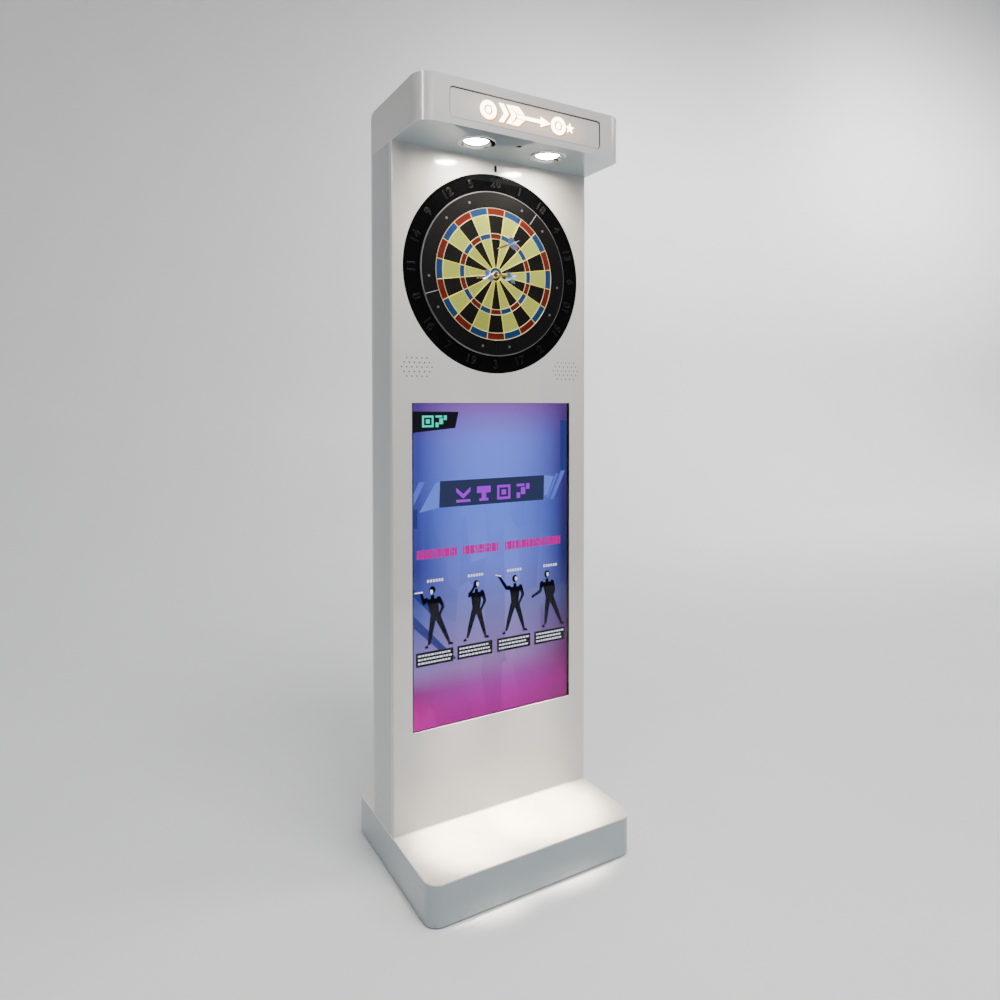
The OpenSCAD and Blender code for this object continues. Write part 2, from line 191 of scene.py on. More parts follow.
def make_grain():
    tree, given, out = new_tree("grain", SHADER_TREE, {"Size": 0.0006, "Color": MID_GREY, "Fade": 0.15},
                                {"Height": FLOAT, "Color": COLOR})
    cells = add(tree, "ShaderNodeTexVoronoi",
                {"Vector": here(tree), "Scale": calc(tree, "DIVIDE", 1.0, given["Size"])})
    paler = add(tree, "ShaderNodeHueSaturation",
                {"Color": given["Color"], "Value": 1.35, "Saturation": 0.85})
    amount = times(tree, noise(tree, 38.0, 5.0), given["Fade"])
    wire(tree, out, {"Height": cells.outputs["Distance"],
                     "Color": mix(tree, amount, given["Color"], paler.outputs[0])})
    return tree

# %% Dust and floor grime
def make_dust():
    tree, given, out = new_tree("dust", SHADER_TREE, {
        "Color": MID_GREY, "Dust": rgb("b8b2a6"), "Amount": 0.2}, {"Color": COLOR, "Mask": FLOAT})
    up = axis_of(tree, add(tree, "ShaderNodeNewGeometry").outputs["Normal"], "Z")
    patch = remap(tree, noise(tree, 24.0, 8.0, Roughness=0.7), 0.42, 0.75)
    lying = times(tree, calc(tree, "MAXIMUM", up, 0.0), patch)
    mask = times(tree, lying, given["Amount"], clamp=True)
    wire(tree, out, {"Color": mix(tree, mask, given["Color"], given["Dust"]), "Mask": mask})
    return tree


def make_floor_grime():
    tree, given, out = new_tree("floor_grime", SHADER_TREE, {
        "Color": MID_GREY, "Grime": rgb("55504a"), "Reach": 0.05, "Amount": 0.5, "Specks": 0.03},
        {"Color": COLOR, "Mask": FLOAT})
    low = remap(tree, axis_of(tree, here(tree), "Z"), 0.0, given["Reach"], 1.0, 0.0)
    patch = remap(tree, noise(tree, 60.0, 6.0, Roughness=0.75), 0.5, 0.72)
    stain = times(tree, times(tree, low, patch), given["Amount"])
    cells = add(tree, "ShaderNodeTexVoronoi", {"Vector": here(tree), "Scale": 24.0}).outputs
    chosen = calc(tree, "LESS_THAN", axis_of(tree, cells["Color"], "X"), given["Specks"])
    speck = times(tree, calc(tree, "LESS_THAN", cells["Distance"], 0.035), chosen)
    mask = calc(tree, "ADD", stain, speck, clamp=True)
    wire(tree, out, {"Color": mix(tree, mask, given["Color"], given["Grime"]), "Mask": mask})
    return tree


ORANGE_PEEL, GRAIN, DUST, GRIME = make_orange_peel(), make_grain(), make_dust(), make_floor_grime()
print("shared effects:", [g.name for g in (ORANGE_PEEL, GRAIN, DUST, GRIME)])

# %% [markdown]
# ## Finishes
# A material starts as one Principled shader with plain numbers on its own sockets. The groups then
# feed only what changes over the surface: colour, roughness and the bump's height.

# %% Material helpers
def new_material(name, color, roughness=0.5, metallic=0.0, coat=0.0, ior=1.5, shine=0.5):
    material = bpy.data.materials.new(name)
    material.use_nodes = True
    shader = material.node_tree.nodes["Principled BSDF"]
    for socket, value in (("Base Color", color), ("Roughness", roughness), ("Metallic", metallic),
                          ("Coat Weight", coat), ("Coat Roughness", 0.02), ("IOR", ior),
                          ("Specular IOR Level", shine)):
        shader.inputs[socket].default_value = value
    material.diffuse_color = color
    return material, material.node_tree, shader.inputs


def group(tree, shared, inputs):
    return add(tree, "ShaderNodeGroup", inputs, node_tree=shared).outputs


def bump(tree, height, distance):
    return add(tree, "ShaderNodeBump", {"Height": height, "Distance": distance, "Strength": 1.0}).outputs[0]

# %% Paint
def painted(name, code, roughness, dust=0.10, grime=0.0, specks=0.0):
    color = rgb(code)
    material, tree, shader = new_material(name, color, roughness, coat=0.9)
    shader["Coat IOR"].default_value = 1.7
    peel = group(tree, ORANGE_PEEL, {"Size": 0.004, "Roughness": roughness, "Variation": 0.08})
    dusty = group(tree, DUST, {"Color": color, "Amount": dust})
    dirty = group(tree, GRIME, {"Color": dusty["Color"], "Reach": 0.03, "Amount": grime, "Specks": specks})
    dull = times(tree, dusty["Mask"], 0.5)
    wire(tree, shader, {"Base Color": dirty["Color"],
                        "Roughness": calc(tree, "ADD", peel["Roughness"], dull, clamp=True),
                        "Normal": bump(tree, peel["Height"], 0.00002)})
    return material


WHITE_CODE = "dedbd8"
WHITE_PAINT = painted("white_paint", WHITE_CODE, 0.24, grime=0.35)
# One white paint covers the whole shell. The base, the sides and the canopy's underside get darker, cooler
# copies of it as painted shade, and the base top gets a brighter copy as painted light.
BASE_PAINT_SHADED = painted("base_paint_painted_shade", "96a3a8", 0.30, grime=0.75, specks=0.05)
SIDE_PAINT_SHADED = painted("side_paint_painted_shade", "bac0bf", 0.24, grime=0.35)
BASE_TOP_PAINT_LIT = painted("base_top_paint_painted_light", "fff4e6", 0.30, dust=0.25, grime=0.2, specks=0.05)
SOFFIT_PAINT_SHADED = painted("soffit_paint", "9aaab0", 0.30, dust=0.0)

# %% Plastics and rubber
def moulded(name, code, roughness, size=0.0007, depth=0.00004, fade=0.2, coat=0.0, dust=0.0, shine=0.5):
    color = rgb(code)
    material, tree, shader = new_material(name, color, roughness, coat=coat, shine=shine)
    grain = group(tree, GRAIN, {"Size": size, "Color": color, "Fade": fade})
    dusty = group(tree, DUST, {"Color": grain["Color"], "Amount": dust})
    peel = group(tree, ORANGE_PEEL, {"Size": 0.01, "Roughness": roughness, "Variation": 0.12})
    wire(tree, shader, {"Base Color": dusty["Color"], "Roughness": peel["Roughness"],
                        "Normal": bump(tree, grain["Height"], depth)})
    return material


RING_GLOSS = moulded("number_ring_gloss", "060607", 0.10, 0.003, 0.00001, 0.3, coat=1.0, shine=0.2)
RING_MATTE = moulded("catch_ring_texture", "0d0c0e", 0.50, 0.0012, 0.00010, 0.35, shine=0.08)
SEGMENT = {name: moulded("segment_" + name, code, roughness, 0.0008, fade=fade, shine=shine)
           for name, code, roughness, fade, shine in (
               ("black", "0f0e10", 0.45, 0.5, 0.15), ("cream", "aeb74e", 0.45, 0.25, 0.2),
               ("red", "66140c", 0.46, 0.4, 0.12), ("blue", "10396a", 0.46, 0.4, 0.12))}
BULL_BLUE = moulded("bull_blue", "123c6e", 0.40, 0.0008, fade=0.4, shine=0.3)
BULL_RED = moulded("bull_red", "5c1410", 0.40, 0.0008, fade=0.4)
SPIDER_YELLOW = moulded("spider_yellow", "ffee50", 0.34, 0.001, 0.00002, 0.1, coat=0.2)
SPIDER_CREAM = moulded("spider_cream", "e8dda2", 0.34, 0.001, 0.00002, 0.1, coat=0.2)
NUMBER_GREY = moulded("number_grey", "121316", 0.35, 0.001, 0.00001, 0.2, shine=0.3)
BLACK_PLASTIC = moulded("black_plastic", "1a1a1b", 0.5, dust=0.1)
RUBBER = moulded("foot_rubber", "161616", 0.75, 0.0005, 0.00006)
SWITCH_RED = moulded("switch_red", "7a1512", 0.3, coat=0.3)
MEMBRANE = moulded("sensor_membrane", "1d2d26", 0.6)
NYLON = moulded("dart_nylon", "e9e6dc", 0.4, 0.001, 0.00001)
STEM = moulded("dart_stem", "26262c", 0.3, coat=0.3)
SEAM_HIGHLIGHT_PAINT = moulded("ring_seam_highlight", "c9c9c6", 0.35)
# Grey for the catch ring's screws, and on its edge a painted highlight.
TRIM_AND_HIGHLIGHT_GREY = moulded("ring_edge_highlight_grey", "5c5c60", 0.3, 0.002, 0.00001, 0.3)
BEAD = moulded("sealing_bead", "e8e4dc", 0.45, 0.002, 0.00002, 0.1)

# %% Metal
def metal(name, code, roughness, stretch=(1, 1, 1)):
    color = rgb(code)
    material, tree, shader = new_material(name, color, roughness, metallic=1.0)
    stretched = add(tree, "ShaderNodeMapping", {"Vector": here(tree), "Scale": stretch}).outputs[0]
    lines = noise(tree, 900.0, 3.0, stretched)
    grain = group(tree, GRAIN, {"Size": 0.002, "Color": color, "Fade": 0.3})
    wire(tree, shader, {"Base Color": grain["Color"],
                        "Roughness": remap(tree, lines, 0.0, 1.0, roughness * 0.7, roughness * 1.4),
                        "Normal": bump(tree, lines, 0.00001)})
    return material


ZINC = metal("zinc", "b9bbbe", 0.34)
STEEL = metal("blackened_steel", "5f6062", 0.42)
CHROME = metal("chrome", "d8d8da", 0.08)
COPPER = metal("dart_barrel", "b07a48", 0.26)
ALUMINIUM = metal("aluminium", "c4c6c9", 0.3, (1, 20, 1))

# %% [markdown]
# ## Things that give light
# The screen, the lamps and the sign glow by emission. The lamps also need real light sources,
# because a small bright disc alone would leave the picture noisy.

# %% Glowing finishes and glass
def glowing(name, light, strength, base="101010"):
    """A finish that gives light: `light` is its linear colour, very slightly uneven."""
    material, tree, shader = new_material(name, rgb(base), 0.4, shine=0.0)
    dimmer = tuple(v * 0.88 for v in light)
    wire(tree, shader, {"Emission Color": mix(tree, noise(tree, 90.0, 2.0), (*light, 1), (*dimmer, 1))})
    shader["Emission Strength"].default_value = strength
    return material


LAMP_GLOW = glowing("lamp_glow", (1.0, 0.93, 0.78), 185.0, "ffffff")
SIGN_GLOW = glowing("sign_glow", (1.0, 0.78, 0.50), 13.0, "ffffff")
SIGN_EDGE = glowing("sign_edge_glow", (1.0, 0.50, 0.20), 1.0, "b06a34")
LED_GLOW = glowing("led_glow", (1.0, 0.9, 0.75), 3.0)


def make_glass():
    material, tree, shader = new_material("screen_glass", (0.97, 0.98, 0.99, 1), 0.02, ior=1.2)
    shader["Transmission Weight"].default_value = 1.0
    smears = noise(tree, 9.0, 5.0, Distortion=0.8)
    wire(tree, shader, {"Roughness": remap(tree, smears, 0.45, 0.8, 0.01, 0.06)})
    return material


GLASS = make_glass()
print("materials:", len(bpy.data.materials))

# %% [markdown]
# ## Finishing the CAD pieces
# The frame's meshes are loose triangles with flat shading. A small Geometry Nodes modifier welds
# them, shades them smooth and keeps every edge sharper than 35 degrees crisp. Where the real edge is
# broken or rounded, a Bevel follows it. The CAD mesh itself is never touched.

# %% Geometry helpers
def geo(tree, kind, inputs=None, **settings):
    return add(tree, "GeometryNode" + kind, inputs, **settings).outputs[0]


def join(tree, *parts):
    node = add(tree, "GeometryNodeJoinGeometry")
    for part in parts:
        tree.links.new(part, node.inputs[0])
    return node.outputs[0]


def coated(tree, geometry, material):
    """Real geometry with its finish: the last step of every tree that grows a piece."""
    plain = geo(tree, "RealizeInstances", {0: geometry})
    return geo(tree, "SetMaterial", {"Geometry": plain, "Material": material})

# %% Weld and shade
def make_shading_tree():
    tree, given, out = new_tree("weld_and_shade", GEOMETRY_TREE, {
        "Geometry": GEOMETRY, "Sharp Above": math.radians(35)}, {"Geometry": GEOMETRY})
    plain = geo(tree, "RemoveAttribute", {"Geometry": given["Geometry"], "Name": "custom_normal"})
    welded = geo(tree, "MergeByDistance", {"Geometry": plain, "Distance": 0.00001})
    smooth = geo(tree, "SetShadeSmooth", {"Geometry": welded, "Shade Smooth": True})
    sharp = add(tree, "FunctionNodeCompare", {0: geo(tree, "InputMeshEdgeAngle"), 1: given["Sharp Above"]},
                operation="GREATER_THAN").outputs[0]
    wire(tree, out, {"Geometry": geo(tree, "SetShadeSmooth", {
        "Geometry": smooth, "Selection": sharp, "Shade Smooth": False}, domain="EDGE")})
    return tree


WELD_AND_SHADE = make_shading_tree()


def finish_node(name, material, bevel=0.0, segments=2):
    node = NODES[name]
    node.data.materials.clear()
    node.data.materials.append(material)
    node.modifiers.new("weld_and_shade", "NODES").node_group = WELD_AND_SHADE
    if bevel:
        rounding = node.modifiers.new("edges", "BEVEL")
        rounding.width, rounding.segments = bevel, segments
        rounding.limit_method, rounding.angle_limit = "ANGLE", math.radians(40)
        rounding.harden_normals = True

# %% What each piece is made of, and how far its edges are rounded
for name, look in {
        "front_panel": (WHITE_PAINT,), "rear_panel": (WHITE_PAINT,), "sign_face": (WHITE_PAINT,),
        "left_side_panel": (SIDE_PAINT_SHADED,), "right_side_panel": (SIDE_PAINT_SHADED,),
        "canopy_shell": (WHITE_PAINT, 0.0012), "canopy_soffit": (SOFFIT_PAINT_SHADED,),
        "base_shell": (BASE_PAINT_SHADED,), "base_top": (BASE_TOP_PAINT_LIT, 0.0016, 3),
        "rear_door": (WHITE_PAINT, 0.0006), "ballast_plate": (STEEL, 0.0008),
        "hinge_pins": (ZINC, 0.0004), "cam_lock": (CHROME, 0.0003), "display_rails": (ZINC, 0.0005),
        "number_ring": (RING_GLOSS, 0.0005, 3), "catch_ring": (RING_MATTE, 0.0004),
        "catch_screws": (TRIM_AND_HIGHLIGHT_GREY, 0.0002), "sensor_membrane": (MEMBRANE,),
        "board_housing": (BLACK_PLASTIC, 0.0005), "screen_glass": (GLASS,),
        "display_panel": (BLACK_PLASTIC, 0.0006), "power_supply": (ALUMINIUM, 0.001),
        "game_controller": (BLACK_PLASTIC, 0.001), "power_inlet": (BLACK_PLASTIC, 0.0004),
        "rocker_switch": (SWITCH_RED, 0.0004), "speakers": (BLACK_PLASTIC, 0.0008),
        "overhead_camera": (BLACK_PLASTIC, 0.0004), "sign_lamp_board": (LED_GLOW,),
        "lamp_bezels": (CHROME, 0.0004), "lamp_lenses": (LAMP_GLOW,)}.items():
    finish_node(name, *look)
FEET = [name for name in NODES if name.startswith("foot_")]
for name in FEET:
    finish_node(name, ZINC, 0.0006)

# %% [markdown]
# ## Growing pieces with Geometry Nodes
# `grow` puts a tree on a carrier object, evaluates it once and keeps the result as a plain mesh.
# The modifier and its carrier are gone before anything rides on a body.

# %% Making and placing pieces
def link(name, data):
    piece = bpy.data.objects.new(name, data)
    scene.collection.objects.link(piece)
    return piece


def shade_smooth(mesh, sharp_degrees=None):
    mesh.polygons.foreach_set("use_smooth", [True] * len(mesh.polygons))
    if sharp_degrees:
        mesh.set_sharp_from_angle(angle=math.radians(sharp_degrees))


def keep(name, build, material=None):
    """Turns a finished BMesh into a plain mesh with its finish."""
    mesh = bpy.data.meshes.new(name)
    build.to_mesh(mesh)
    build.free()
    if material:
        mesh.materials.append(material)
    return mesh


def evaluated(thing):
    """The plain mesh that an object's curve or modifier makes; the object itself goes away."""
    graph = bpy.context.evaluated_depsgraph_get()
    mesh = bpy.data.meshes.new_from_object(thing.evaluated_get(graph), depsgraph=graph)
    bpy.data.objects.remove(thing)
    return mesh


def grow(name, tree, seed_mesh, **inputs):
    carrier = link(name + "_carrier", seed_mesh)
    modifier = carrier.modifiers.new(name, "NODES")
    modifier.node_group = tree
    sockets = {i.name: i.identifier for i in tree.interface.items_tree
               if i.item_type == "SOCKET" and i.in_out == "INPUT"}
    for label, value in inputs.items():
        modifier[sockets[label.replace("_", " ")]] = value
    return link(name, evaluated(carrier))


def place(piece, body="root", replaces=(), stand=None):
    """Stands a piece up, sends it to its body and hides the CAD nodes it replaces."""
    if not piece.data.polygons:
        raise ValueError(piece.name + " came out empty")
    if stand:
        piece.data.transform(stand)
    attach(piece, body)
    if replaces:
        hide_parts(*replaces)
    return piece


def moved(x, y, z):
    return Matrix.Translation((x, y, z))


def around(radius, turn, z=0.0):
    """A point on a circle about Z, with the turn in radians."""
    return radius * math.cos(turn), radius * math.sin(turn), z


UPRIGHT = Matrix.Rotation(math.radians(90), 4, "X")

# %% [markdown]
# ## The drilled segments
# A soft-tip target is made of plates full of small holes that catch a nylon point. Each plate's
# outline is drawn flat as one face. The tree lays a hexagonal grid over it, keeps the points that
# are inside and away from the edge, puts a small circle on each, and fills the outline and the
# circles together, so that every circle becomes a hole. Extruding the fill gives the plate.

# %% The drilling tree
GRID_SIZE = 0.42


def make_drilled_plate():
    tree, given, out = new_tree("drilled_plate", GEOMETRY_TREE, {
        "Outline": GEOMETRY, "Thickness": 0.012, "Hole Pitch": 0.0042, "Hole Radius": 0.0013,
        "Edge Margin": 0.0021, "Material": MATERIAL}, {"Plate": GEOMETRY})

    def even_count(pitch):
        half = calc(tree, "DIVIDE", calc(tree, "DIVIDE", GRID_SIZE, pitch), 2)
        return times(tree, calc(tree, "FLOOR", half), 2)

    row_pitch = times(tree, given["Hole Pitch"], math.sqrt(3) / 2)
    columns, rows = even_count(given["Hole Pitch"]), even_count(row_pitch)
    grid = geo(tree, "MeshGrid", {
        "Size X": times(tree, columns, given["Hole Pitch"]),
        "Size Y": times(tree, rows, row_pitch),
        "Vertices X": calc(tree, "ADD", columns, 1), "Vertices Y": calc(tree, "ADD", rows, 1)})
    spot = geo(tree, "InputPosition")
    row = calc(tree, "ROUND", calc(tree, "DIVIDE", axis_of(tree, spot, "Y"), row_pitch))
    odd = calc(tree, "ABSOLUTE", calc(tree, "MODULO", row, 2))
    stagger = times(tree, times(tree, odd, 0.5), given["Hole Pitch"])
    hexagons = geo(tree, "SetPosition", {"Geometry": grid, "Offset": vector_of(tree, X=stagger)})
    edges = add(tree, "GeometryNodeProximity", {0: given["Outline"]}, target_element="EDGES")
    near = add(tree, "FunctionNodeCompare", {0: edges.outputs["Distance"], 1: given["Edge Margin"]},
               operation="LESS_THAN").outputs[0]
    above = add(tree, "ShaderNodeVectorMath", {0: spot, 1: (0, 0, 0.01)}, operation="ADD").outputs[0]
    under = geo(tree, "Raycast", {"Target Geometry": given["Outline"], "Source Position": above,
                                  "Ray Direction": (0, 0, -1), "Ray Length": 0.02})
    outside = add(tree, "FunctionNodeBooleanMath", {0: under}, operation="NOT").outputs[0]
    drop = add(tree, "FunctionNodeBooleanMath", {0: near, 1: outside}, operation="OR").outputs[0]
    kept = geo(tree, "DeleteGeometry", {"Geometry": hexagons, "Selection": drop}, domain="POINT")
    circle = geo(tree, "CurvePrimitiveCircle", {"Resolution": 8, "Radius": given["Hole Radius"]})
    holes = geo(tree, "InstanceOnPoints", {"Points": kept, "Instance": circle})
    rim = geo(tree, "MeshToCurve", {"Mesh": given["Outline"]})
    face = geo(tree, "FillCurve", {0: join(tree, geo(tree, "RealizeInstances", {0: holes}), rim)})
    depth = times(tree, given["Thickness"], -1.0)
    back = geo(tree, "Transform", {"Geometry": face, "Translation": vector_of(tree, Z=depth)})
    solid = geo(tree, "ExtrudeMesh", {"Mesh": back, "Offset": vector_of(tree, Z=given["Thickness"]),
                                      "Offset Scale": 1.0, "Individual": False})
    closed = join(tree, geo(tree, "FlipFaces", {"Mesh": back}), solid)
    welded = geo(tree, "MergeByDistance", {"Geometry": closed, "Distance": 0.00002})
    wire(tree, out, {"Plate": coated(tree, welded, given["Material"])})
    return tree


DRILLED_PLATE = make_drilled_plate()

# %% The outlines of one number's plates
WEB_RADII = [0.0095, 0.0207, 0.1055, 0.1215, 0.176, TARGET_R]
CUT = 0.001
HALF = math.pi / len(SCORES)


def arc_points(radius, middle, steps):
    """Points along the arc between two spider walls, kept the cut's width away from them."""
    reach = HALF - math.asin(CUT / radius)
    return [around(radius, middle - reach + 2 * reach * i / steps) for i in range(steps + 1)]


def plate_outlines(middle, rings):
    mesh = bmesh.new()
    for i in rings:
        steps = 4 + int(40 * WEB_RADII[i + 1] / TARGET_R * 0.4)
        inner = arc_points(WEB_RADII[i] + CUT, middle, steps)
        outer = arc_points(WEB_RADII[i + 1] - CUT, middle, steps)
        mesh.faces.new([mesh.verts.new(p) for p in outer + inner[::-1]])
    mesh.normal_update()
    return keep("outline", mesh)


SEGMENT_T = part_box("segment_20")[1].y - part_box("segment_20")[0].y
ON_TARGET = Matrix.Translation(BULL) @ UPRIGHT


def drill(name, outline, material, body):
    plate = grow(name, DRILLED_PLATE, outline, Thickness=SEGMENT_T, Material=material)
    return place(plate, body, [body], ON_TARGET)


triangles = 0
for k, score in enumerate(SCORES):
    for label, rings, colours in (("bed", (1, 3), ("black", "cream")), ("ring", (2, 4), ("red", "blue"))):
        colour = colours[k % 2]
        plate = drill(f"{label}_{score}", plate_outlines(math.pi / 2 - 2 * HALF * k, rings), SEGMENT[colour],
                      f"segment_{score}")
        triangles += sum(len(p.vertices) - 2 for p in plate.data.polygons)
print("drilled plates for", len(SCORES), "numbers,", triangles, "triangles")

# %% The bulls
def round_outline(r_in, r_out, steps):
    """A disc as one face, or a ring as two half-ring faces where there is an inner radius."""
    def arc(radius, start, turn):
        return [around(radius, start + turn * i / steps) for i in range(steps + 1)]

    mesh = bmesh.new()
    outlines = ([arc(r_out, a, math.pi) + arc(r_in, a, math.pi)[::-1] for a in (0.0, math.pi)] if r_in
                else [arc(r_out, 0.0, 2 * math.pi)[:-1]])
    for points in outlines:
        mesh.faces.new([mesh.verts.new(p) for p in points])
    return keep("outline", mesh)


drill("inner_bull_plate", round_outline(0, WEB_RADII[0] - CUT, 36), BULL_RED, "inner_bull")
drill("outer_bull_plate", round_outline(WEB_RADII[0] + CUT, WEB_RADII[1] - CUT, 24), BULL_BLUE,
      "outer_bull")

# %% [markdown]
# ## The spider
# Thin plastic walls part the beds. A wire drawing of the circles and spokes goes in; the tree
# sweeps a narrow, round-topped section along every wire.

# %% The spider tree
def make_walls():
    tree, given, out = new_tree("round_topped_walls", GEOMETRY_TREE, {
        "Wires": GEOMETRY, "Thickness": 0.0014, "Depth": 0.0149, "Material": MATERIAL}, {"Walls": GEOMETRY})
    path = geo(tree, "MeshToCurve", {"Mesh": given["Wires"]})
    upright = geo(tree, "SetCurveNormal", {"Curve": path}, mode="Z_UP")
    section = geo(tree, "CurvePrimitiveQuadrilateral",
                  {"Width": given["Thickness"], "Height": given["Depth"]})
    rounded = geo(tree, "FilletCurve", {
        "Curve": section, "Radius": times(tree, given["Thickness"], 0.45)})
    solid = geo(tree, "CurveToMesh", {"Curve": upright, "Profile Curve": rounded, "Fill Caps": True})
    smooth = geo(tree, "SetShadeSmooth", {"Geometry": solid, "Shade Smooth": True})
    wire(tree, out, {"Walls": coated(tree, smooth, given["Material"])})
    return tree


def wire_mesh(circles, spokes, steps=240):
    mesh = bmesh.new()
    for r in circles:
        ring = [mesh.verts.new(around(r, 2 * math.pi * i / steps)) for i in range(steps)]
        for i in range(steps):
            mesh.edges.new((ring[i], ring[(i + 1) % steps]))
    for a in spokes:
        mesh.edges.new([mesh.verts.new(around(r, a)) for r in (WEB_RADII[1], TARGET_R)])
    return keep("wires", mesh)


WALLS = make_walls()
WALL_T = 0.0018
SPIDER_LOW, SPIDER_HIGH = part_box("spider")
spider_depth = SPIDER_HIGH.y - SPIDER_LOW.y
AT_SPIDER = moved(BULL.x, SPIDER_LOW.y + spider_depth / 2, BULL.z) @ UPRIGHT
spokes = [HALF + 2 * HALF * k for k in range(len(SCORES))]
for label, circles, lines, material in (("spider_walls", WEB_RADII[:2], spokes, SPIDER_YELLOW),
                                        ("spider_rings", WEB_RADII[2:], [], SPIDER_CREAM)):
    walls = grow(label, WALLS, wire_mesh(circles, lines), Thickness=WALL_T, Depth=spider_depth,
                 Material=material)
    place(walls, "root", ["spider"], AT_SPIDER)

# %% [markdown]
# ## Numbers and the ring's trim
# The numerals are thin raised outlines on the gloss ring. Each reads upright: in the lower half
# they are turned over. A grey edge, a painted highlight on the lip, and ten screws hold the ring that
# catches stray darts.

# %% Numerals
NUMERAL_R, NUMERAL_H, CAP_HEIGHT = 0.2705, 0.024, 0.69


def numeral(score, turn):
    curve = bpy.data.curves.new(f"numeral_{score}", "FONT")
    curve.body, curve.size = str(score), NUMERAL_H / CAP_HEIGHT
    curve.align_x, curve.align_y = "CENTER", "CENTER"
    curve.fill_mode = "NONE"
    curve.bevel_depth, curve.bevel_resolution = 0.00045, 1
    curve.resolution_u = 4
    curve.space_character = 1.12
    mesh = evaluated(link("numeral_curve", curve))
    lean = turn - math.pi / 2 + (math.pi if math.sin(turn) < -0.1 else 0.0)
    mesh.transform(Matrix.Rotation(lean, 4, "Z"))
    mesh.transform(moved(*around(NUMERAL_R, turn)))
    return mesh


whole = bmesh.new()
for k, score in enumerate(SCORES):
    whole.from_mesh(numeral(score, math.pi / 2 - 2 * HALF * k))
place(link("numerals", keep("numerals", whole, NUMBER_GREY)), "root",
      stand=moved(BULL.x, FACE_Y - 0.0002, BULL.z) @ UPRIGHT)

# %% Turned parts: one profile swept round an axis
def revolve(name, profile, material, steps=48):
    """A surface of revolution about Z from (radius, height) pairs; radius 0 closes the end."""
    mesh = bmesh.new()
    rings = []
    for radius, height in profile:
        count = steps if radius > 1e-7 else 1
        rings.append([mesh.verts.new(around(radius, 2 * math.pi * i / steps, height)) for i in range(count)])
    for a, b in zip(rings, rings[1:]):
        for i in range(steps):
            j = (i + 1) % steps
            corners = list(dict.fromkeys([a[i % len(a)], a[j % len(a)], b[j % len(b)], b[i % len(b)]]))
            if len(corners) > 2:
                mesh.faces.new(corners)
    bmesh.ops.recalc_face_normals(mesh, faces=mesh.faces)
    mesh = keep(name, mesh, material)
    shade_smooth(mesh, 38)
    return link(name, mesh)


def button(name, radius, material, steps):
    """A flat round plate 0.3 mm thick."""
    return revolve(name, [(0.0, 0.0), (radius, 0.0), (radius, 0.0003), (0.0, 0.0003)], material, steps)


# %% The catch ring's edge and seams, pale as painted highlights
CATCH_LOW, CATCH_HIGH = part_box("catch_ring")
CATCH_R = (CATCH_HIGH.x - CATCH_LOW.x) / 2
# The edge is a real lip; its grey colour is a painted highlight of the lamps along it.
edge = revolve("catch_ring_edge", [(CATCH_R + r, z) for r, z in (
    (-0.0001, 0.0), (0.0012, 0.0), (0.0015, 0.0022), (0.0008, 0.0034), (-0.0006, 0.0046), (-0.0016, 0.0044),
    (-0.0001, 0.0))], TRIM_AND_HIGHLIGHT_GREY, 180)
place(edge, "root", stand=moved(BULL.x, FACE_Y, BULL.z) @ UPRIGHT)
# The pale strips at 54 and 198 degrees are painted highlights: the lamps' reflection in these two seams. The
# other seams get none.
SEAM_R, SEAM_SIZE = 0.2215, (0.041, 0.0012, 0.0004, 1)
for label, degrees in (("upper", 54), ("lower", 198)):
    strip = bmesh.new()
    bmesh.ops.create_cube(strip, size=1.0, matrix=Matrix.Rotation(math.radians(degrees), 4, "Z")
                          @ moved(SEAM_R, 0, 0) @ Matrix.Diagonal(SEAM_SIZE))
    place(link("ring_seam_" + label, keep("seam", strip, SEAM_HIGHLIGHT_PAINT)), "root",
          stand=moved(BULL.x, CATCH_LOW.y - 0.0001, BULL.z) @ UPRIGHT)

# %% [markdown]
# ## The picture on the screen
# The display glows through its glass. The background is a cool blue that turns violet and then
# magenta towards the bottom. Simple shapes lie over it in thin layers: a banner, four throwing
# figures and rows of bars that stand for writing.

# %% Screen background
HEIGHTS = (0.02, 0.06, 0.11, 0.18, 0.34, 0.49, 0.65, 0.88, 0.99)
MIDDLE = ((0.46, 0.0, 0.31), (0.50, 0.005, 0.40), (0.42, 0.045, 0.44), (0.37, 0.20, 0.56),
          (0.22, 0.22, 0.66), (0.185, 0.25, 1.06), (0.145, 0.25, 1.08), (0.19, 0.245, 1.06),
          (0.28, 0.12, 0.56))
LEFT = ((0.60, 0.0, 0.34), (0.56, 0.0, 0.33), (0.34, 0.01, 0.26), (0.30, 0.20, 0.58), (0.09, 0.12, 0.52),
        (0.045, 0.045, 0.29), (0.05, 0.06, 0.37), (0.06, 0.065, 0.39), (0.09, 0.04, 0.26))
RIGHT = ((0.29, 0.015, 0.18), (0.34, 0.003, 0.22), (0.24, 0.012, 0.17), (0.14, 0.02, 0.13),
         (0.05, 0.05, 0.18), (0.02, 0.025, 0.14), (0.03, 0.02, 0.16), (0.045, 0.035, 0.20),
         (0.09, 0.035, 0.20))


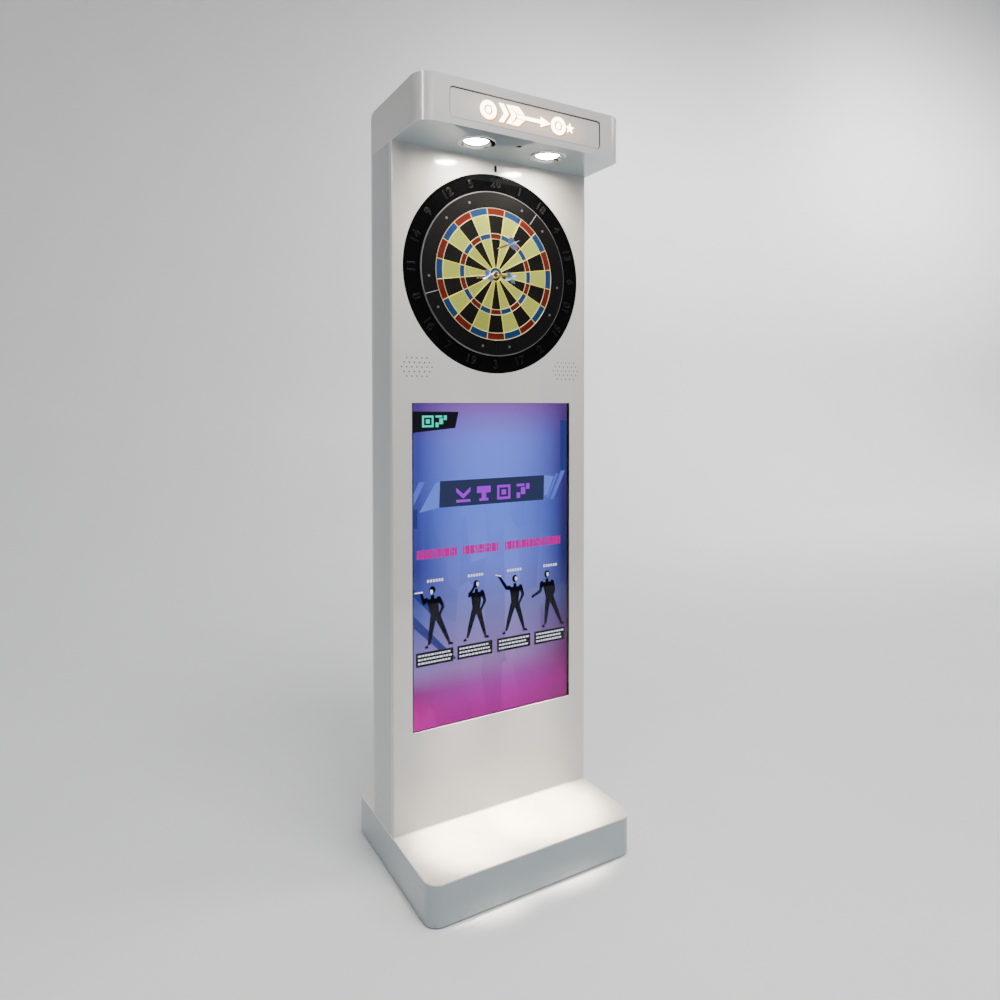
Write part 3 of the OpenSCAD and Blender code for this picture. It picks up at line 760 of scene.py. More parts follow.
def make_screen_glow():
    """Three columns of colour, bottom to top, that fade into each other from the left to the right."""
    material, tree, shader = new_material("screen_picture", (0.01, 0.01, 0.012, 1), 0.3, shine=0.0)
    rise = remap(tree, axis_of(tree, here(tree), "Z"), 0.400, 1.345)
    sideways = axis_of(tree, here(tree), "X")

    def ramp(lights):
        node = add(tree, "ShaderNodeValToRGB", {0: rise})
        elements = node.color_ramp.elements
        while len(elements) < len(lights):
            elements.new(0.5)
        for element, height, light in zip(elements, HEIGHTS, lights):
            element.position, element.color = height, (*light, 1)
        return node.outputs[0]

    def fade(edge, power):
        return calc(tree, "POWER", remap(tree, sideways, 0.0, edge), power)

    half = mix(tree, fade(-0.25, 2.2), ramp(MIDDLE), ramp(LEFT))
    slanted = add(tree, "ShaderNodeMapping", {"Vector": here(tree), "Rotation": (0, math.radians(38), 0),
                                              "Scale": (13.0, 1.0, 3.2)})
    shards = add(tree, "ShaderNodeTexVoronoi", {"Vector": slanted.outputs[0], "Scale": 1.0})
    shade = axis_of(tree, shards.outputs["Color"], "X")
    depth = times(tree, shade, remap(tree, rise, 0.78, 0.30))
    wire(tree, shader, {"Emission Color": mix(tree, fade(0.25, 2.0), half, ramp(RIGHT)),
                        "Emission Strength": remap(tree, depth, 0.0, 1.0, 1.08, 0.72)})
    return material


SCREEN = make_screen_glow()
INK = {name: glowing("ink_" + name, light, 1.0, "020203") for name, light in {
    "slate": (0.036, 0.046, 0.115), "wing": (0.17, 0.27, 1.05), "dark": (0.012, 0.012, 0.018),
    "figure": (0.004, 0.004, 0.008), "cyan": (0.0, 1.1, 0.80), "purple": (0.50, 0.0, 1.15),
    "pink": (0.74, 0.0, 0.36), "white": (1.2, 1.25, 1.4), "haze": (0.13, 0.18, 0.85),
    "shadow": (0.035, 0.045, 0.25)}.items()}
ART_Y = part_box("display_panel")[0].y
layer_gap = (ART_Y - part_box("screen_glass")[1].y) / 8


def flat_shapes(name, shapes, material, layer):
    """Polygons of (x, z) in millimetres, laid in one thin layer of the screen."""
    mesh = bmesh.new()
    for points in shapes:
        mesh.faces.new([mesh.verts.new((x * MM, ART_Y - layer_gap * layer, z * MM)) for x, z in points])
    bmesh.ops.triangulate(mesh, faces=mesh.faces)
    mesh.normal_update()
    for f in mesh.faces:
        if f.normal.y > 0:
            f.normal_flip()
    place(link(name, keep(name, mesh, material)), "root")


def bar(x0, z0, x1, z1):
    return [(x0, z0), (x1, z0), (x1, z1), (x0, z1)]


flat_shapes("screen_picture", [bar(-264.6, 402.2, 264.6, 1343.1)], SCREEN, 1)
flat_shapes("screen_panes", [[(-264, 1050), (-228, 1118), (-246, 1118), (-264, 1085)],
                             [(200, 1040), (214, 1040), (258, 1128), (242, 1128)],
                             [(186, 1046), (196, 1046), (232, 1120), (222, 1120)]], INK["haze"], 2)
flat_shapes("screen_shadow_panes", [bar(-264, 985, -252, 1040), bar(240, 1130, 264, 1290),
                                    [(-264, 700), (-150, 590), (-128, 590), (-264, 735)],
                                    [(-264, 790), (-198, 720), (-190, 735), (-264, 812)]], INK["shadow"], 2)

# %% Banner, tag and signs
flat_shapes("banner_wings", [[(-246, 1030), (-184, 1040), (-180, 1117), (-196, 1112)],
                             [(178, 1052), (190, 1056), (214, 1112), (178, 1117)]], INK["wing"], 3)
flat_shapes("banner", [[(-184, 1040), (176, 1040), (178, 1117), (-181, 1117)]], INK["slate"], 4)
flat_shapes("corner_tag", [[(-265, 1259), (-132, 1271), (-121, 1318), (-265, 1320)]], INK["dark"], 4)


def glyph(x0, z0, w, h, kind):
    """One made-up sign inside a box: a target, a dart, a chevron or a trophy, drawn with bars."""
    cx, cz, t, x1, z1 = x0 + w / 2, z0 + h / 2, w * 0.17, x0 + w, z0 + h
    return (
        [bar(x0, z0, x1, z0 + t), bar(x0, z1 - t, x1, z1), bar(x0, z0 + t, x0 + t, z1 - t),
         bar(x1 - t, z0 + t, x1, z1 - t), bar(cx - t, cz - t, cx + t, cz + t)],
        [bar(x0, z0, x0 + t * 1.6, z0 + h * 0.4), bar(cx - t, z0 + h * 0.25, cx + t, z0 + h * 0.75),
         bar(x1 - t * 1.6, z0 + h * 0.6, x1, z1), bar(x0, z1 - t, x0 + w * 0.6, z1)],
        [[(x0, z1), (cx, z0 + h * 0.55), (x1, z1), (x1, z0 + h * 0.7), (cx, z0 + h * 0.25),
          (x0, z0 + h * 0.7)], bar(x0, z0, x1, z0 + t)],
        [bar(x0, z0 + h * 0.55, x1, z1), bar(cx - t, z0 + t, cx + t, z0 + h * 0.55),
         bar(x0 + t, z0, x1 - t, z0 + t)])[kind % 4]


def in_row(x0, x1, count, gap, draw):
    """`count` signs side by side from x0 to x1; `draw` gets each one's number, left end and width."""
    w = (x1 - x0 - gap * (count - 1)) / count
    return [shape for i in range(count) for shape in draw(i, x0 + i * (w + gap), w)]


flat_shapes("tag_signs", in_row(-237, -159, 2, 6, lambda i, x, w: glyph(x, 1274, w, 34, i)), INK["cyan"], 5)
flat_shapes("banner_signs", in_row(-129, 124, 4, 22, lambda i, x, w: glyph(x, 1051, w, 44, i + 2)),
            INK["purple"], 5)
rng = random.Random(7)


def block(x0, z0, w, h):
    """One dense made-up sign: a solid block with a few narrow cuts."""
    cuts = sorted(rng.sample((0.22, 0.36, 0.5, 0.64, 0.78), 2))
    left, right = x0 + w * cuts[0], x0 + w * cuts[1]
    split = z0 + h * rng.choice((0.35, 0.5, 0.65))
    return [bar(x0, z0, left - 0.9, z0 + h), bar(left + 0.9, z0, right - 0.9, split - 0.9),
            bar(left + 0.9, split + 0.9, right - 0.9, z0 + h), bar(right + 0.9, z0, x0 + w, z0 + h),
            bar(left - 1, z0 + h * 0.2, left + 1, z0 + h * 0.34),
            bar(right - 1, z0 + h * 0.66, right + 1, z0 + h * 0.82)]


flat_shapes("pink_line", [shape for x0, x1, n in ((-254, -127, 5), (-108, 13, 5), (36, 239, 8))
                          for shape in in_row(x0, x1, n, 2, lambda i, x, w: block(x, 895, w, 26))],
            INK["pink"], 5)

# %% Captions
BOXES = [(-258, -139), (-126, -8), (8, 127), (142, 257)]
flat_shapes("caption_boxes", [bar(x0, 585, x1, 626) for x0, x1 in BOXES], INK["dark"], 4)
bars, labels = [], []
for x0, x1 in BOXES:
    for z in (592, 603, 614):
        x = x0 + 7
        while x < x1 - 14:
            w = rng.uniform(4, 11)
            bars.append(bar(x, z, x + w, z + 5))
            x += w + 2.5
    middle = (x0 + x1) / 2
    labels += [bar(middle - 24 + 9 * i, 826, middle - 18 + 9 * i, 834) for i in range(6)]
flat_shapes("caption_bars", bars, INK["white"], 5)
flat_shapes("figure_labels", labels, INK["white"], 5)

# %% [markdown]
# ### Four throwing figures
# Each figure is a plain sign-board person, built from tapered limbs between joints: a head, a
# body, two legs and two arms, one of them raised to throw.

# %% Figures
def limb(a, b, wa, wb):
    dx, dz = b[0] - a[0], b[1] - a[1]
    size = math.hypot(dx, dz)
    nx, nz = -dz / size, dx / size
    return [(a[0] + nx * wa, a[1] + nz * wa), (a[0] - nx * wa, a[1] - nz * wa),
            (b[0] - nx * wb, b[1] - nz * wb), (b[0] + nx * wb, b[1] + nz * wb)]


def disc(x, z, r, steps=20):
    return [(x + r * math.cos(2 * math.pi * i / steps), z + r * 1.2 * math.sin(2 * math.pi * i / steps))
            for i in range(steps)]


def figure(hx, feet, elbow, hand, rest_elbow, rest_hand):
    hz = 803
    neck, hip = (hx, hz - 14), ((feet[0] + feet[1]) / 2 * 0.45 + hx * 0.55, 722)
    shoulders = [(hx - 19, 778), (hx + 19, 778)]
    shapes = [disc(hx, hz, 9.5), limb(neck, (neck[0], 778), 5, 6),
              [shoulders[0], shoulders[1], (hip[0] + 12, 722), (hip[0] - 12, 722)]]
    shapes += [disc(x, z - 2, 6) for x, z in shoulders]
    for side, foot in zip((-1, 1), feet):
        knee = ((hip[0] + foot) / 2 + side * 4, 684)
        shapes += [limb((hip[0] + side * 6, 726), knee, 10, 7), limb(knee, (foot, 645), 7.5, 4),
                   limb((foot - 3, 641), (foot + side * 13, 638), 5, 3), disc(*knee, 6.5)]
    for (elbow_at, hand_at), shoulder in zip(((elbow, hand), (rest_elbow, rest_hand)),
                                             (shoulders if hand[0] < hx else shoulders[::-1])):
        shapes += [limb(shoulder, elbow_at, 7, 5), limb(elbow_at, hand_at, 5.5, 3.5), disc(*elbow_at, 4.6),
                   disc(*hand_at, 4.4)]
    return shapes


people = (figure(-206, (-217, -153), (-232, 768), (-242, 799), (-172, 752), (-186, 724))
          + figure(-63, (-93, -33), (-86, 770), (-70, 795), (-34, 750), (-46, 726))
          + figure(71, (40, 103), (42, 776), (14, 817), (100, 752), (86, 724))
          + figure(189, (183, 242), (164, 752), (136, 739), (216, 750), (204, 722)))
flat_shapes("throwing_figures", people, INK["figure"], 6)
faces = [[(x, z + 5), (x + 7, z + 3), (x + 8, z - 4), (x + 3, z - 10), (x - 1, z - 3)]
         for x, z in ((-212, 800), (-62, 804), (72, 804), (188, 804))]
flat_shapes("figure_faces", faces, INK["white"], 7)
flat_shapes("figure_darts", [limb((-262, 800), (-236, 800), 1.5, 2.5), limb((2, 822), (22, 816), 1.2, 2.2)],
            INK["white"], 7)

# %% [markdown]
# ## The lit sign
# The canopy's front has a shallow window with rounded ends. Soft shapes glow in its middle: two
# targets, a dart behind two chevrons, and a star. A warm edge shows below and beside each shape.

# %% Sign
SIGN_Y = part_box("sign_face")[0].y
SIGN_Z = 2130


def sign_piece(name, shapes, material, lift):
    """Polygons of (x, z) in millimetres, raised from the sign's face by `lift`."""
    mesh = bmesh.new()
    for points in shapes:
        mesh.faces.new([mesh.verts.new((x * MM, SIGN_Y - lift, z * MM)) for x, z in points])
    deep = bmesh.ops.extrude_face_region(mesh, geom=mesh.faces[:])["geom"]
    bmesh.ops.translate(mesh, vec=(0, lift * 0.98, 0),
                        verts=[v for v in deep if isinstance(v, bmesh.types.BMVert)])
    bmesh.ops.recalc_face_normals(mesh, faces=mesh.faces)
    place(link(name, keep(name, mesh, material)), "root")


def sign_target(x, r=19, w=6, steps=36):
    """A ring of thin wedges round a disc."""
    turns = [2 * math.pi * i / steps for i in range(steps + 1)]
    return [[(x + (r + s) * math.cos(t), SIGN_Z + (r + s) * math.sin(t))
             for s, t in ((-w, a), (w, a), (w, b), (-w, b))]
            for a, b in zip(turns, turns[1:])] + [disc(x, SIGN_Z, 8)]


def chevron(x, w=16, h=25, t=15):
    return [(x, SIGN_Z - h), (x + t, SIGN_Z - h), (x + w + t, SIGN_Z), (x + t, SIGN_Z + h), (x, SIGN_Z + h),
            (x + w, SIGN_Z)]


star = [(137 + r * math.sin(math.pi * i / 5), SIGN_Z + r * math.cos(math.pi * i / 5))
        for i, r in enumerate([16, 7] * 5)]
sign_shapes = (sign_target(-128) + [chevron(-96), chevron(-72), bar(-38, 2125, 40, 2135),
                                    [(38, 2116), (72, 2130), (38, 2144)],
                                    [(-40, 2137), (-14, 2137), (-34, 2156), (-56, 2156)],
                                    [(-40, 2123), (-14, 2123), (-34, 2104), (-56, 2104)]]
               + sign_target(98) + [star])
sign_piece("sign_pictograms", sign_shapes, SIGN_GLOW, 0.0006)
sign_piece("sign_warm_edges", [[(x + 3.2, z - 3.2) for x, z in points] for points in sign_shapes],
           SIGN_EDGE, 0.0003)


def rounded_frame(x0, z0, x1, z1, radius, width):
    """A closed strip that follows a rounded rectangle."""
    corners = ((x1 - radius, z1 - radius, 0), (x0 + radius, z1 - radius, 90),
               (x0 + radius, z0 + radius, 180), (x1 - radius, z0 + radius, 270))
    turns = [(cx, cz, math.radians(a0 + 15 * i)) for cx, cz, a0 in corners for i in range(7)]
    outer, inner = ([(cx + r * math.cos(a), cz + r * math.sin(a)) for cx, cz, a in turns]
                    for r in (radius, radius - width))
    count = len(outer)
    return [[outer[i], outer[(i + 1) % count], inner[(i + 1) % count], inner[i]] for i in range(count)]


# The thin dark strip round the window is painted shade: the shadow in the groove at the window's edge.
sign_piece("sign_gasket", rounded_frame(-244, 2088.5, 244, 2169.5, 12, 2.4), BLACK_PLASTIC, 0.0004)


def make_sign_panel():
    """White acrylic in the canopy's colour, warmed by the lamps behind its middle."""
    material, tree, shader = new_material("sign_panel", rgb(WHITE_CODE), 0.22, coat=0.6)
    peel = group(tree, ORANGE_PEEL, {"Size": 0.006, "Roughness": 0.2, "Variation": 0.06})

    def reach(letter, middle, half_width, power):
        off = calc(tree, "SUBTRACT", axis_of(tree, here(tree), letter), middle)
        return calc(tree, "POWER", calc(tree, "ABSOLUTE", calc(tree, "DIVIDE", off, half_width)), power)

    away = calc(tree, "ADD", reach("X", 0.0, 0.16, 4.0), reach("Z", SIGN_Z * MM, 0.034, 2.0))
    halo = calc(tree, "EXPONENT", times(tree, away, -1.0))
    shader["Emission Color"].default_value = (1.0, 0.56, 0.26, 1)
    wire(tree, shader, {"Roughness": peel["Roughness"],
                        "Emission Strength": times(tree, halo, 0.75)})
    return material


NODES["sign_face"].data.materials[0] = make_sign_panel()

# %% [markdown]
# ## Lamps
# Two recessed lamps light the target. Each has a stepped reflector inside its bezel and a low,
# glowing dome for a lens. A wide spot spills on the canopy, and a narrow one is the beam.

# %% Lamps and their light
def add_light(name, kind, spot, energy, color, aim=None, **settings):
    light = bpy.data.lights.new(name, kind)
    light.energy, light.color = energy, color
    for setting, value in settings.items():
        setattr(light, setting, value)
    holder = link(name, light)
    holder.location = spot
    if aim:
        holder.rotation_euler = (Vector(aim) - Vector(spot)).to_track_quat("-Z", "Y").to_euler()
    return holder


LENS_LOW, LENS_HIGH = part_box("lamp_lenses")
LENS_R = (LENS_HIGH.y - LENS_LOW.y) / 2
LAMP_X, LAMP_Y = LENS_HIGH.x - LENS_R, (LENS_LOW.y + LENS_HIGH.y) / 2
RIM_R = LENS_R - 0.0014
REFLECTOR = [(RIM_R, 0.0), (0.0358, -0.0004), (0.0352, -0.0016), (0.0362, -0.0024), (0.0386, -0.0060),
             (0.0396, -0.0060), (0.0372, -0.0018), (RIM_R, -0.0014), (RIM_R, 0.0)]
DOME = [(0.0, -0.0088), (0.010, -0.0085), (0.019, -0.0076), (0.027, -0.0058), (0.033, -0.0032),
        (0.0354, -0.0008), (0.0350, 0.0), (0.0, 0.0)]
for side, x in (("left", -LAMP_X), ("right", LAMP_X)):
    stand = moved(x, LAMP_Y, LENS_LOW.z)
    place(revolve("lamp_reflector_" + side, REFLECTOR, CHROME, 72), "root", stand=stand)
    place(revolve("lamp_dome_" + side, DOME, LAMP_GLOW, 64), "root", stand=stand)
    for label, energy, width, blend, lean in (("spill", 3, 148, 0.35, -4), ("beam", 1450, 12.5, 0.9, 0.3)):
        beam = add_light("lamp_" + label, "SPOT", (x, LAMP_Y, LENS_LOW.z - 0.016), energy, (1.0, 0.90, 0.76),
                         spot_size=math.radians(width), spot_blend=blend, shadow_soft_size=0.04)
        beam.rotation_euler = (math.radians(lean), 0, 0)

# %% [markdown]
# ## The darts
# Three soft-tip darts stick in the target. A dart is turned about its own axis: a nylon point, a
# grooved brass barrel, a stem and four flights. The pull joint gives each dart's axis.

# %% Darts
def flight_material():
    material, tree, shader = new_material("dart_flight", rgb("a9b9e6"), 0.35)
    wire(tree, shader, {"Base Color": mix(tree, noise(tree, 30.0, 2.0), rgb("3f9df5"), rgb("a3b0f5"))})
    shader["Transmission Weight"].default_value = 0.25
    return material


FLIGHT = flight_material()


def flights(name, material):
    mesh = bmesh.new()
    outline = [(0.0022, 0.098), (0.0075, 0.100), (0.0174, 0.110), (0.0178, 0.137), (0.0155, 0.1415),
               (0.0022, 0.142)]
    for k in range(4):
        turn = Matrix.Rotation(math.radians(90 * k + 20), 4, "Z")
        front, back = ([mesh.verts.new(turn @ Vector((r, side, z))) for r, z in outline]
                       for side in (-0.00025, 0.00025))
        mesh.faces.new(front)
        mesh.faces.new(back[::-1])
        for i in range(len(outline)):
            j = (i + 1) % len(outline)
            mesh.faces.new((front[j], front[i], back[i], back[j]))
    return link(name, keep(name, mesh, material))


def barrel_profile():
    points = [(0.0, 0.0235), (0.0022, 0.0236), (0.0026, 0.026)]
    z = 0.027
    while z < 0.064:
        swell = 0.0031 + 0.0002 * math.sin((z - 0.027) / 0.037 * math.pi)
        points += [(swell, z), (swell, z + 0.0012), (swell - 0.0004, z + 0.0014),
                   (swell - 0.0004, z + 0.0019)]
        z += 0.0021
    return points + [(0.0030, 0.066), (0.0024, 0.070), (0.0, 0.0701)]


POINT = [(0.0, -0.0055), (0.0011, -0.004), (0.0012, 0.004), (0.0017, 0.016), (0.0022, 0.0225),
         (0.0022, 0.0238), (0.0, 0.0239)]
SHAFT = [(0.0, 0.0698), (0.0024, 0.0699), (0.0029, 0.072), (0.0024, 0.078), (0.0020, 0.092), (0.0024, 0.098),
         (0.0024, 0.106), (0.0, 0.1062)]
joints = {j["child"]: j for j in frame["joints"]}
for number, (x, z) in enumerate(((6, 78), (4.5, 1), (-64, -16)), 1):
    body = f"dart_{number}"
    axis = Vector(joints[body]["axis"]).normalized()
    lean = Vector((0, 0, 1)).rotation_difference(axis).to_matrix().to_4x4()
    stand = moved(x * MM, BULL.y, BULL.z + z * MM) @ lean
    for part in (revolve(f"point_{number}", POINT, NYLON, 20),
                 revolve(f"barrel_{number}", barrel_profile(), COPPER, 24),
                 revolve(f"stem_{number}", SHAFT, STEM, 20), flights(f"flights_{number}", FLIGHT)):
        place(part, body, [body], stand)
print("darts placed, axes from", [j for j in joints if j.startswith("dart")])

# %% [markdown]
# ## The back and the fittings
# Small parts that repeat are grown with one tree: it takes a list of points and a part, and sets
# the part down at every point. Screws, louvre hoods, gauze, cooling fins, ribs and vent holes all
# come from it.

# %% Repeating parts
def make_repeater():
    tree, given, out = new_tree("repeat_part", GEOMETRY_TREE, {
        "Points": GEOMETRY, "Part": OBJECT, "Turn Seed": 3, "Turn Range": 0.0, "Material": MATERIAL},
        {"Parts": GEOMETRY})
    part = add(tree, "GeometryNodeObjectInfo", {"Object": given["Part"]}).outputs["Geometry"]
    turn = add(tree, "FunctionNodeRandomValue", {2: 0.0, 3: given["Turn Range"], "Seed": given["Turn Seed"]},
               data_type="FLOAT").outputs[1]
    copies = geo(tree, "InstanceOnPoints", {"Points": given["Points"], "Instance": part,
                                            "Rotation": vector_of(tree, Y=turn)})
    wire(tree, out, {"Parts": coated(tree, copies, given["Material"])})
    return tree


REPEATER = make_repeater()
FACING_BACK = Matrix.Rotation(math.radians(-90), 4, "X")


def repeat(name, part, points, material, turn=0.0, stand=None):
    """One part, turned by `stand`, at every point."""
    if stand:
        part.data.transform(stand)
    seed_mesh = bpy.data.meshes.new("points")
    seed_mesh.from_pydata(points, [], [])
    whole = grow(name, REPEATER, seed_mesh, Part=part, Turn_Range=turn, Material=material)
    bpy.data.objects.remove(part)
    shade_smooth(whole.data, 35)
    place(whole, "root")


def block_mesh(name, low, high, bevel):
    mesh = bmesh.new()
    middle, size = (Vector(low) + Vector(high)) / 2, Vector(high) - Vector(low)
    bmesh.ops.create_cube(mesh, size=1.0, matrix=Matrix.Translation(middle) @ Matrix.Diagonal((*size, 1)))
    bmesh.ops.bevel(mesh, geom=mesh.edges[:], offset=bevel, segments=2, affect="EDGES", profile=0.5)
    return link(name, keep(name, mesh))


def hood_mesh(width, rise, depth):
    """A pressed hood, open below: a quarter round with closed, rounded ends."""
    mesh = bmesh.new()
    rows = []
    for k in range(13):
        x = -width / 2 + width * (k / 12)
        swell = math.sqrt(max(0.0, 1 - max(0.0, (abs(x) - width / 2 + rise) / rise) ** 2)) or 0.02
        rows.append([mesh.verts.new((x, depth * swell * math.sin(a), rise * swell * math.cos(a)))
                     for a in [math.radians(15 * i) for i in range(7)]])
    for a, b in zip(rows, rows[1:]):
        for i in range(6):
            mesh.faces.new((a[i], a[i + 1], b[i + 1], b[i]))
    bmesh.ops.recalc_face_normals(mesh, faces=mesh.faces)
    bmesh.ops.solidify(mesh, geom=mesh.faces[:], thickness=0.0008)
    return link("hood", keep("hood", mesh))

# %% Back screws
BACK_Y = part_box("right_side_panel")[1].y + 0.016
screw = revolve("screw", [(0.0, 0.0008), (0.0016, 0.0008), (0.0016, 0.0020), (0.0023, 0.0020),
                          (0.0031, 0.0014), (0.0035, 0.0004), (0.0035, -0.0004), (0.0, -0.0004)], ZINC, 12)
screws = [(x, BACK_Y, 0.17 + 0.205 * i) for x in (-0.316, 0.316) for i in range(10)]
screws += [(x, BACK_Y, z) for x in (-0.21, 0.0, 0.21) for z in (0.17, 1.60, 1.93)]
repeat("rear_screws", screw, screws, ZINC, 6.28, FACING_BACK)

# %% Speaker gauze, eye window and camera lens
# Dark gauze fills the speaker holes just behind the face: five rows of five to seven holes a side.
HOLE_X, HOLE_Z, SPEAKER_X, SPEAKER_Z = 0.0155, 0.013, 0.255, 1.446
gauze = [(side * SPEAKER_X + (i - (6 - abs(row)) / 2) * HOLE_X, FACE_Y + 0.0008, SPEAKER_Z + row * HOLE_Z)
         for side in (-1, 1) for row in range(-2, 3) for i in range(7 - abs(row))]
repeat("speaker_gauze", button("gauze", 0.00215, BLACK_PLASTIC, 16), gauze, BLACK_PLASTIC,
       stand=UPRIGHT)

# A black window fills the upright eye slot, and a black lens stands in the overhead camera.
EYE_Z, EYE_STRETCH = 2.045, 0.0055
eye = button("eye_window", 0.0042, RING_GLOSS, 32)
eye.data.transform(UPRIGHT)
for vertex in eye.data.vertices:
    vertex.co.z += math.copysign(EYE_STRETCH, vertex.co.z)
place(eye, "root", stand=moved(0, FACE_Y + 0.0009, EYE_Z))
lens = revolve("camera_lens", [(0.0, -0.0008), (0.0035, -0.0006), (0.0066, -0.0002), (0.0078, 0.0002),
                               (0.0, 0.0004)], RING_GLOSS, 32)
CAMERA_LOW, CAMERA_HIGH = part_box("overhead_camera")
place(lens, "root",
      stand=moved(CAMERA_HIGH.x - 0.016, CAMERA_LOW.y + 0.016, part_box("canopy_soffit")[0].z))

# %% Louvre hoods: two columns of eight on the back sheet
hoods = [(x, BACK_Y - 0.0004, 1.660 + 0.022 * row) for x in (-0.130, 0.130) for row in range(8)]
repeat("louvre_hoods", hood_mesh(0.144, 0.0105, 0.0065), hoods, WHITE_PAINT)

# %% Inside the service door
BOX_LOW, BOX_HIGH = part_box("game_controller")
FINS = 30
fins = [(BOX_LOW.x + 0.012 + i * (BOX_HIGH.x - BOX_LOW.x - 0.024) / (FINS - 1), BOX_HIGH.y - 0.0005,
         (BOX_LOW.z + BOX_HIGH.z) / 2) for i in range(FINS)]
repeat("cooling_fins", block_mesh("fin", (-0.0008, 0.0, -0.075), (0.0008, 0.009, 0.075), 0.0003), fins,
       ALUMINIUM)
RAIL_LOW, RAIL_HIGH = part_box("display_rails")
PANEL_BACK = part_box("display_panel")[1].y
ribs = [(x, PANEL_BACK, start + way * (0.075 + 0.011 * row))
        for start, way in ((RAIL_LOW.z, 1), (RAIL_HIGH.z, -1)) for x in (-0.095, 0.095) for row in range(12)]
repeat("display_ribs", block_mesh("rib", (-0.065, -0.0004, -0.0018), (0.065, 0.0022, 0.0018), 0.0008), ribs,
       BLACK_PLASTIC)
SUPPLY_LOW, SUPPLY_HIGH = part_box("power_supply")
vents = [(SUPPLY_LOW.x + 0.016 + 0.006 * i + 0.003 * (row % 2), SUPPLY_HIGH.y,
          SUPPLY_LOW.z + 0.010 + 0.0052 * row) for row in range(7) for i in range(30)]
repeat("supply_vents", button("hole", 0.0019, BLACK_PLASTIC, 10), vents, BLACK_PLASTIC,
       stand=FACING_BACK)

# %% Leads inside the cabinet
def tube(name, points, radius, material=BLACK_PLASTIC):
    """A smooth round tube through the given points."""
    curve = bpy.data.curves.new(name, "CURVE")
    curve.dimensions = "3D"
    curve.bevel_depth, curve.bevel_resolution = radius, 3
    curve.resolution_u = 8
    curve.use_fill_caps = True
    spline = curve.splines.new("BEZIER")
    spline.bezier_points.add(len(points) - 1)
    for knot, spot in zip(spline.bezier_points, points):
        knot.co = spot
        knot.handle_left_type = knot.handle_right_type = "AUTO"
    mesh = evaluated(link(name + "_curve", curve))
    mesh.materials.clear()
    mesh.materials.append(material)
    shade_smooth(mesh)
    place(link(name, mesh), "root")


tube("mains_lead", [(0.150, 0.112, 0.270), (0.120, 0.096, 0.262), (0.020, 0.070, 0.200),
                    (-0.020, 0.060, 0.150), (-0.036, 0.060, 0.142)], 0.0035)
tube("supply_lead", [(-0.036, 0.030, 0.150), (0.000, 0.030, 0.170), (0.020, 0.028, 0.190),
                     (0.041, 0.026, 0.200)], 0.003)
tube("picture_lead", [(0.140, 0.024, 0.305), (0.142, 0.026, 0.360), (0.120, 0.022, 0.450),
                      (0.060, 0.010, 0.540), (0.040, 0.002, 0.560), (0.040, -0.003, 0.562)], 0.0032)

# %% Rubber shoes and the sealing bead
SHOE = [(0.0, 0.0), (0.0205, 0.0), (0.0222, 0.0008), (0.0222, 0.0030), (0.0219, 0.0034), (0.0, 0.0034)]
for name in FEET:
    low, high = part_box(name)
    place(revolve("rubber_" + name, SHOE, RUBBER, 40), name,
          stand=moved((low.x + high.x) / 2, (low.y + high.y) / 2, low.z))
BASE_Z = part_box("base_top")[1].z
tube("front_bead", [(x, FACE_Y + 0.0004, BASE_Z + 0.0004) for x in (-0.3265, 0.0, 0.3265)], 0.0022, BEAD)

# %% [markdown]
# ## Floor and light
# The machine stands on a pale floor that runs up into a pale wall. Large soft lights stand above it
# and at its right; the left side is turned away from them and stays darker, and the side paint adds painted
# shade.

# %% Stage
WALL_BEND = 2.0


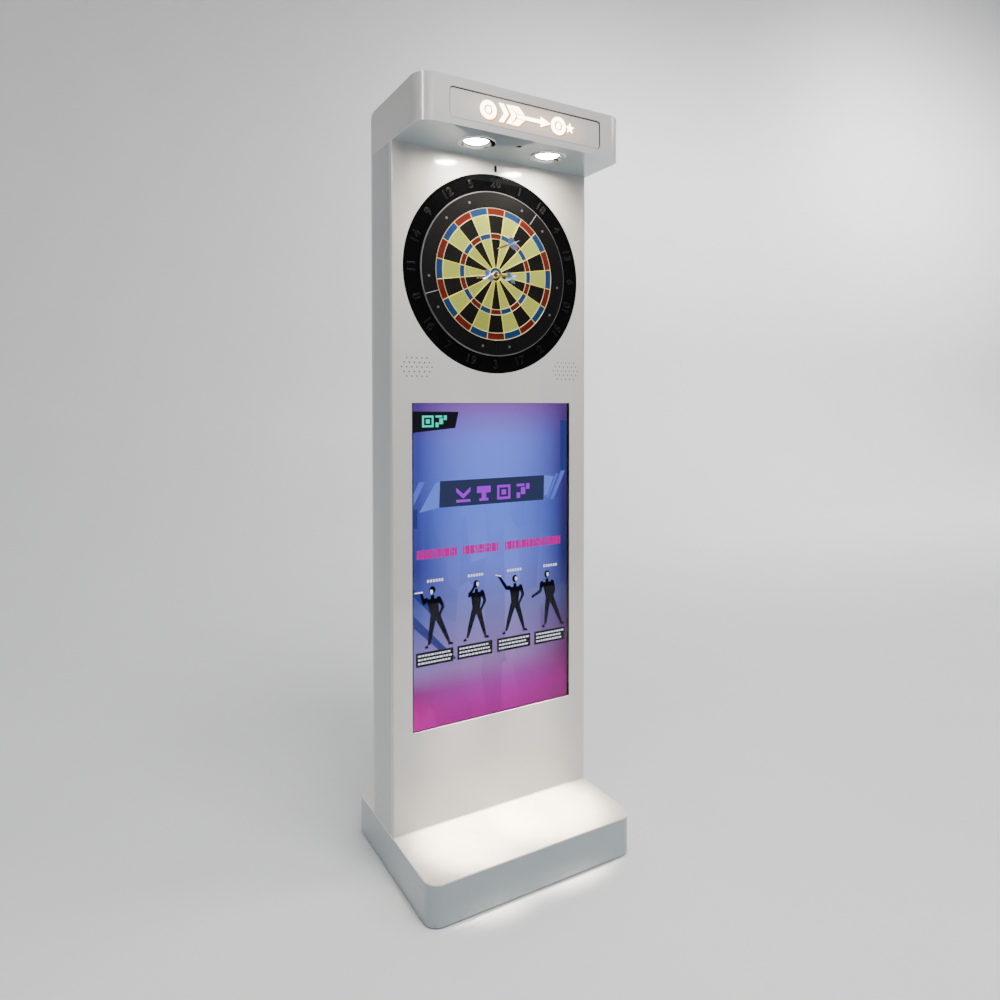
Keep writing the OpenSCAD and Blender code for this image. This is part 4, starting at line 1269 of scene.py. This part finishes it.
def make_floor():
    mesh = bmesh.new()
    bend = [math.radians(7.5 * i) for i in range(1, 13)]
    profile = [(-2.6, 0.0), (3.0, 0.0)] + [
        (3.0 + WALL_BEND * math.sin(a), WALL_BEND - WALL_BEND * math.cos(a)) for a in bend] + [(5.0, 9.0)]
    rows = [[mesh.verts.new((x, y, z)) for x in (-14.0, 26.0)] for y, z in profile]
    for a, b in zip(rows, rows[1:]):
        mesh.faces.new((a[0], a[1], b[1], b[0]))
    material, tree, shader = new_material("floor", rgb("f4f4f4"), 0.6)
    wire(tree, shader, {"Base Color": mix(tree, noise(tree, 2.0, 3.0), rgb("f7f7f7"), rgb("f1f1f1"))})
    out = keep("floor", mesh, material)
    shade_smooth(out)
    return link("floor", out)


make_floor()

# %% World
def make_world():
    """Soft daylight from above and behind, and a dim room in front, so that gloss stays deep."""
    world = bpy.data.worlds.new("world")
    world.use_nodes = True
    tree = world.node_tree
    way = add(tree, "ShaderNodeTexCoord").outputs["Generated"]
    behind = remap(tree, axis_of(tree, way, "Y"), -0.35, 0.15, 0.04, 0.12)
    above = remap(tree, axis_of(tree, way, "Z"), 0.45, 0.8, 0.0, 0.6)
    background = tree.nodes["Background"].inputs
    background["Color"].default_value = (0.88, 0.94, 1.0, 1)
    wire(tree, background, {"Strength": calc(tree, "MAXIMUM", behind, above)})
    return world


scene.world = make_world()

# %% Lights
def soft_light(name, spot, aim, size, energy, color=(1, 1, 1)):
    return add_light(name, "AREA", spot, energy, color, aim, shape="RECTANGLE", size=size[0], size_y=size[1])


soft_light("key", (0.2, -2.8, 5.4), (0, -0.1, 0.9), (2.8, 2.4), 255, (1.0, 0.985, 0.96))
soft_light("right_high", (3.6, -1.6, 4.6), (0, -0.1, 1.0), (2.4, 2.4), 60, (1.0, 0.97, 0.93))
# The strip only draws a bright line down the rounded edges; it adds no light to the flat sides.
soft_light("edge_strip", (-3.6, -1.9, 2.9), (0, 0, 2.3), (0.5, 3.6), 105).visible_diffuse = False
add_light("canopy_wash", "SPOT", (-1.1, -4.3, 3.3), 260, (1.0, 0.98, 0.96), (-0.2, -0.25, 2.15),
          spot_size=math.radians(8), spot_blend=0.7, shadow_soft_size=0.25)
soft_light("wall_wash", (5.5, 1.8, 4.6), (6.5, 5.0, 2.0), (6.0, 0.6), 260)
soft_light("wall_wash_far", (11.5, 1.6, 5.6), (12.5, 5.0, 3.6), (7.0, 0.8), 420)
soft_light("left_fill", (-4.5, 0.6, 2.2), (0, 0, 1.2), (2.5, 3.0), 2, (0.92, 0.97, 1.0))
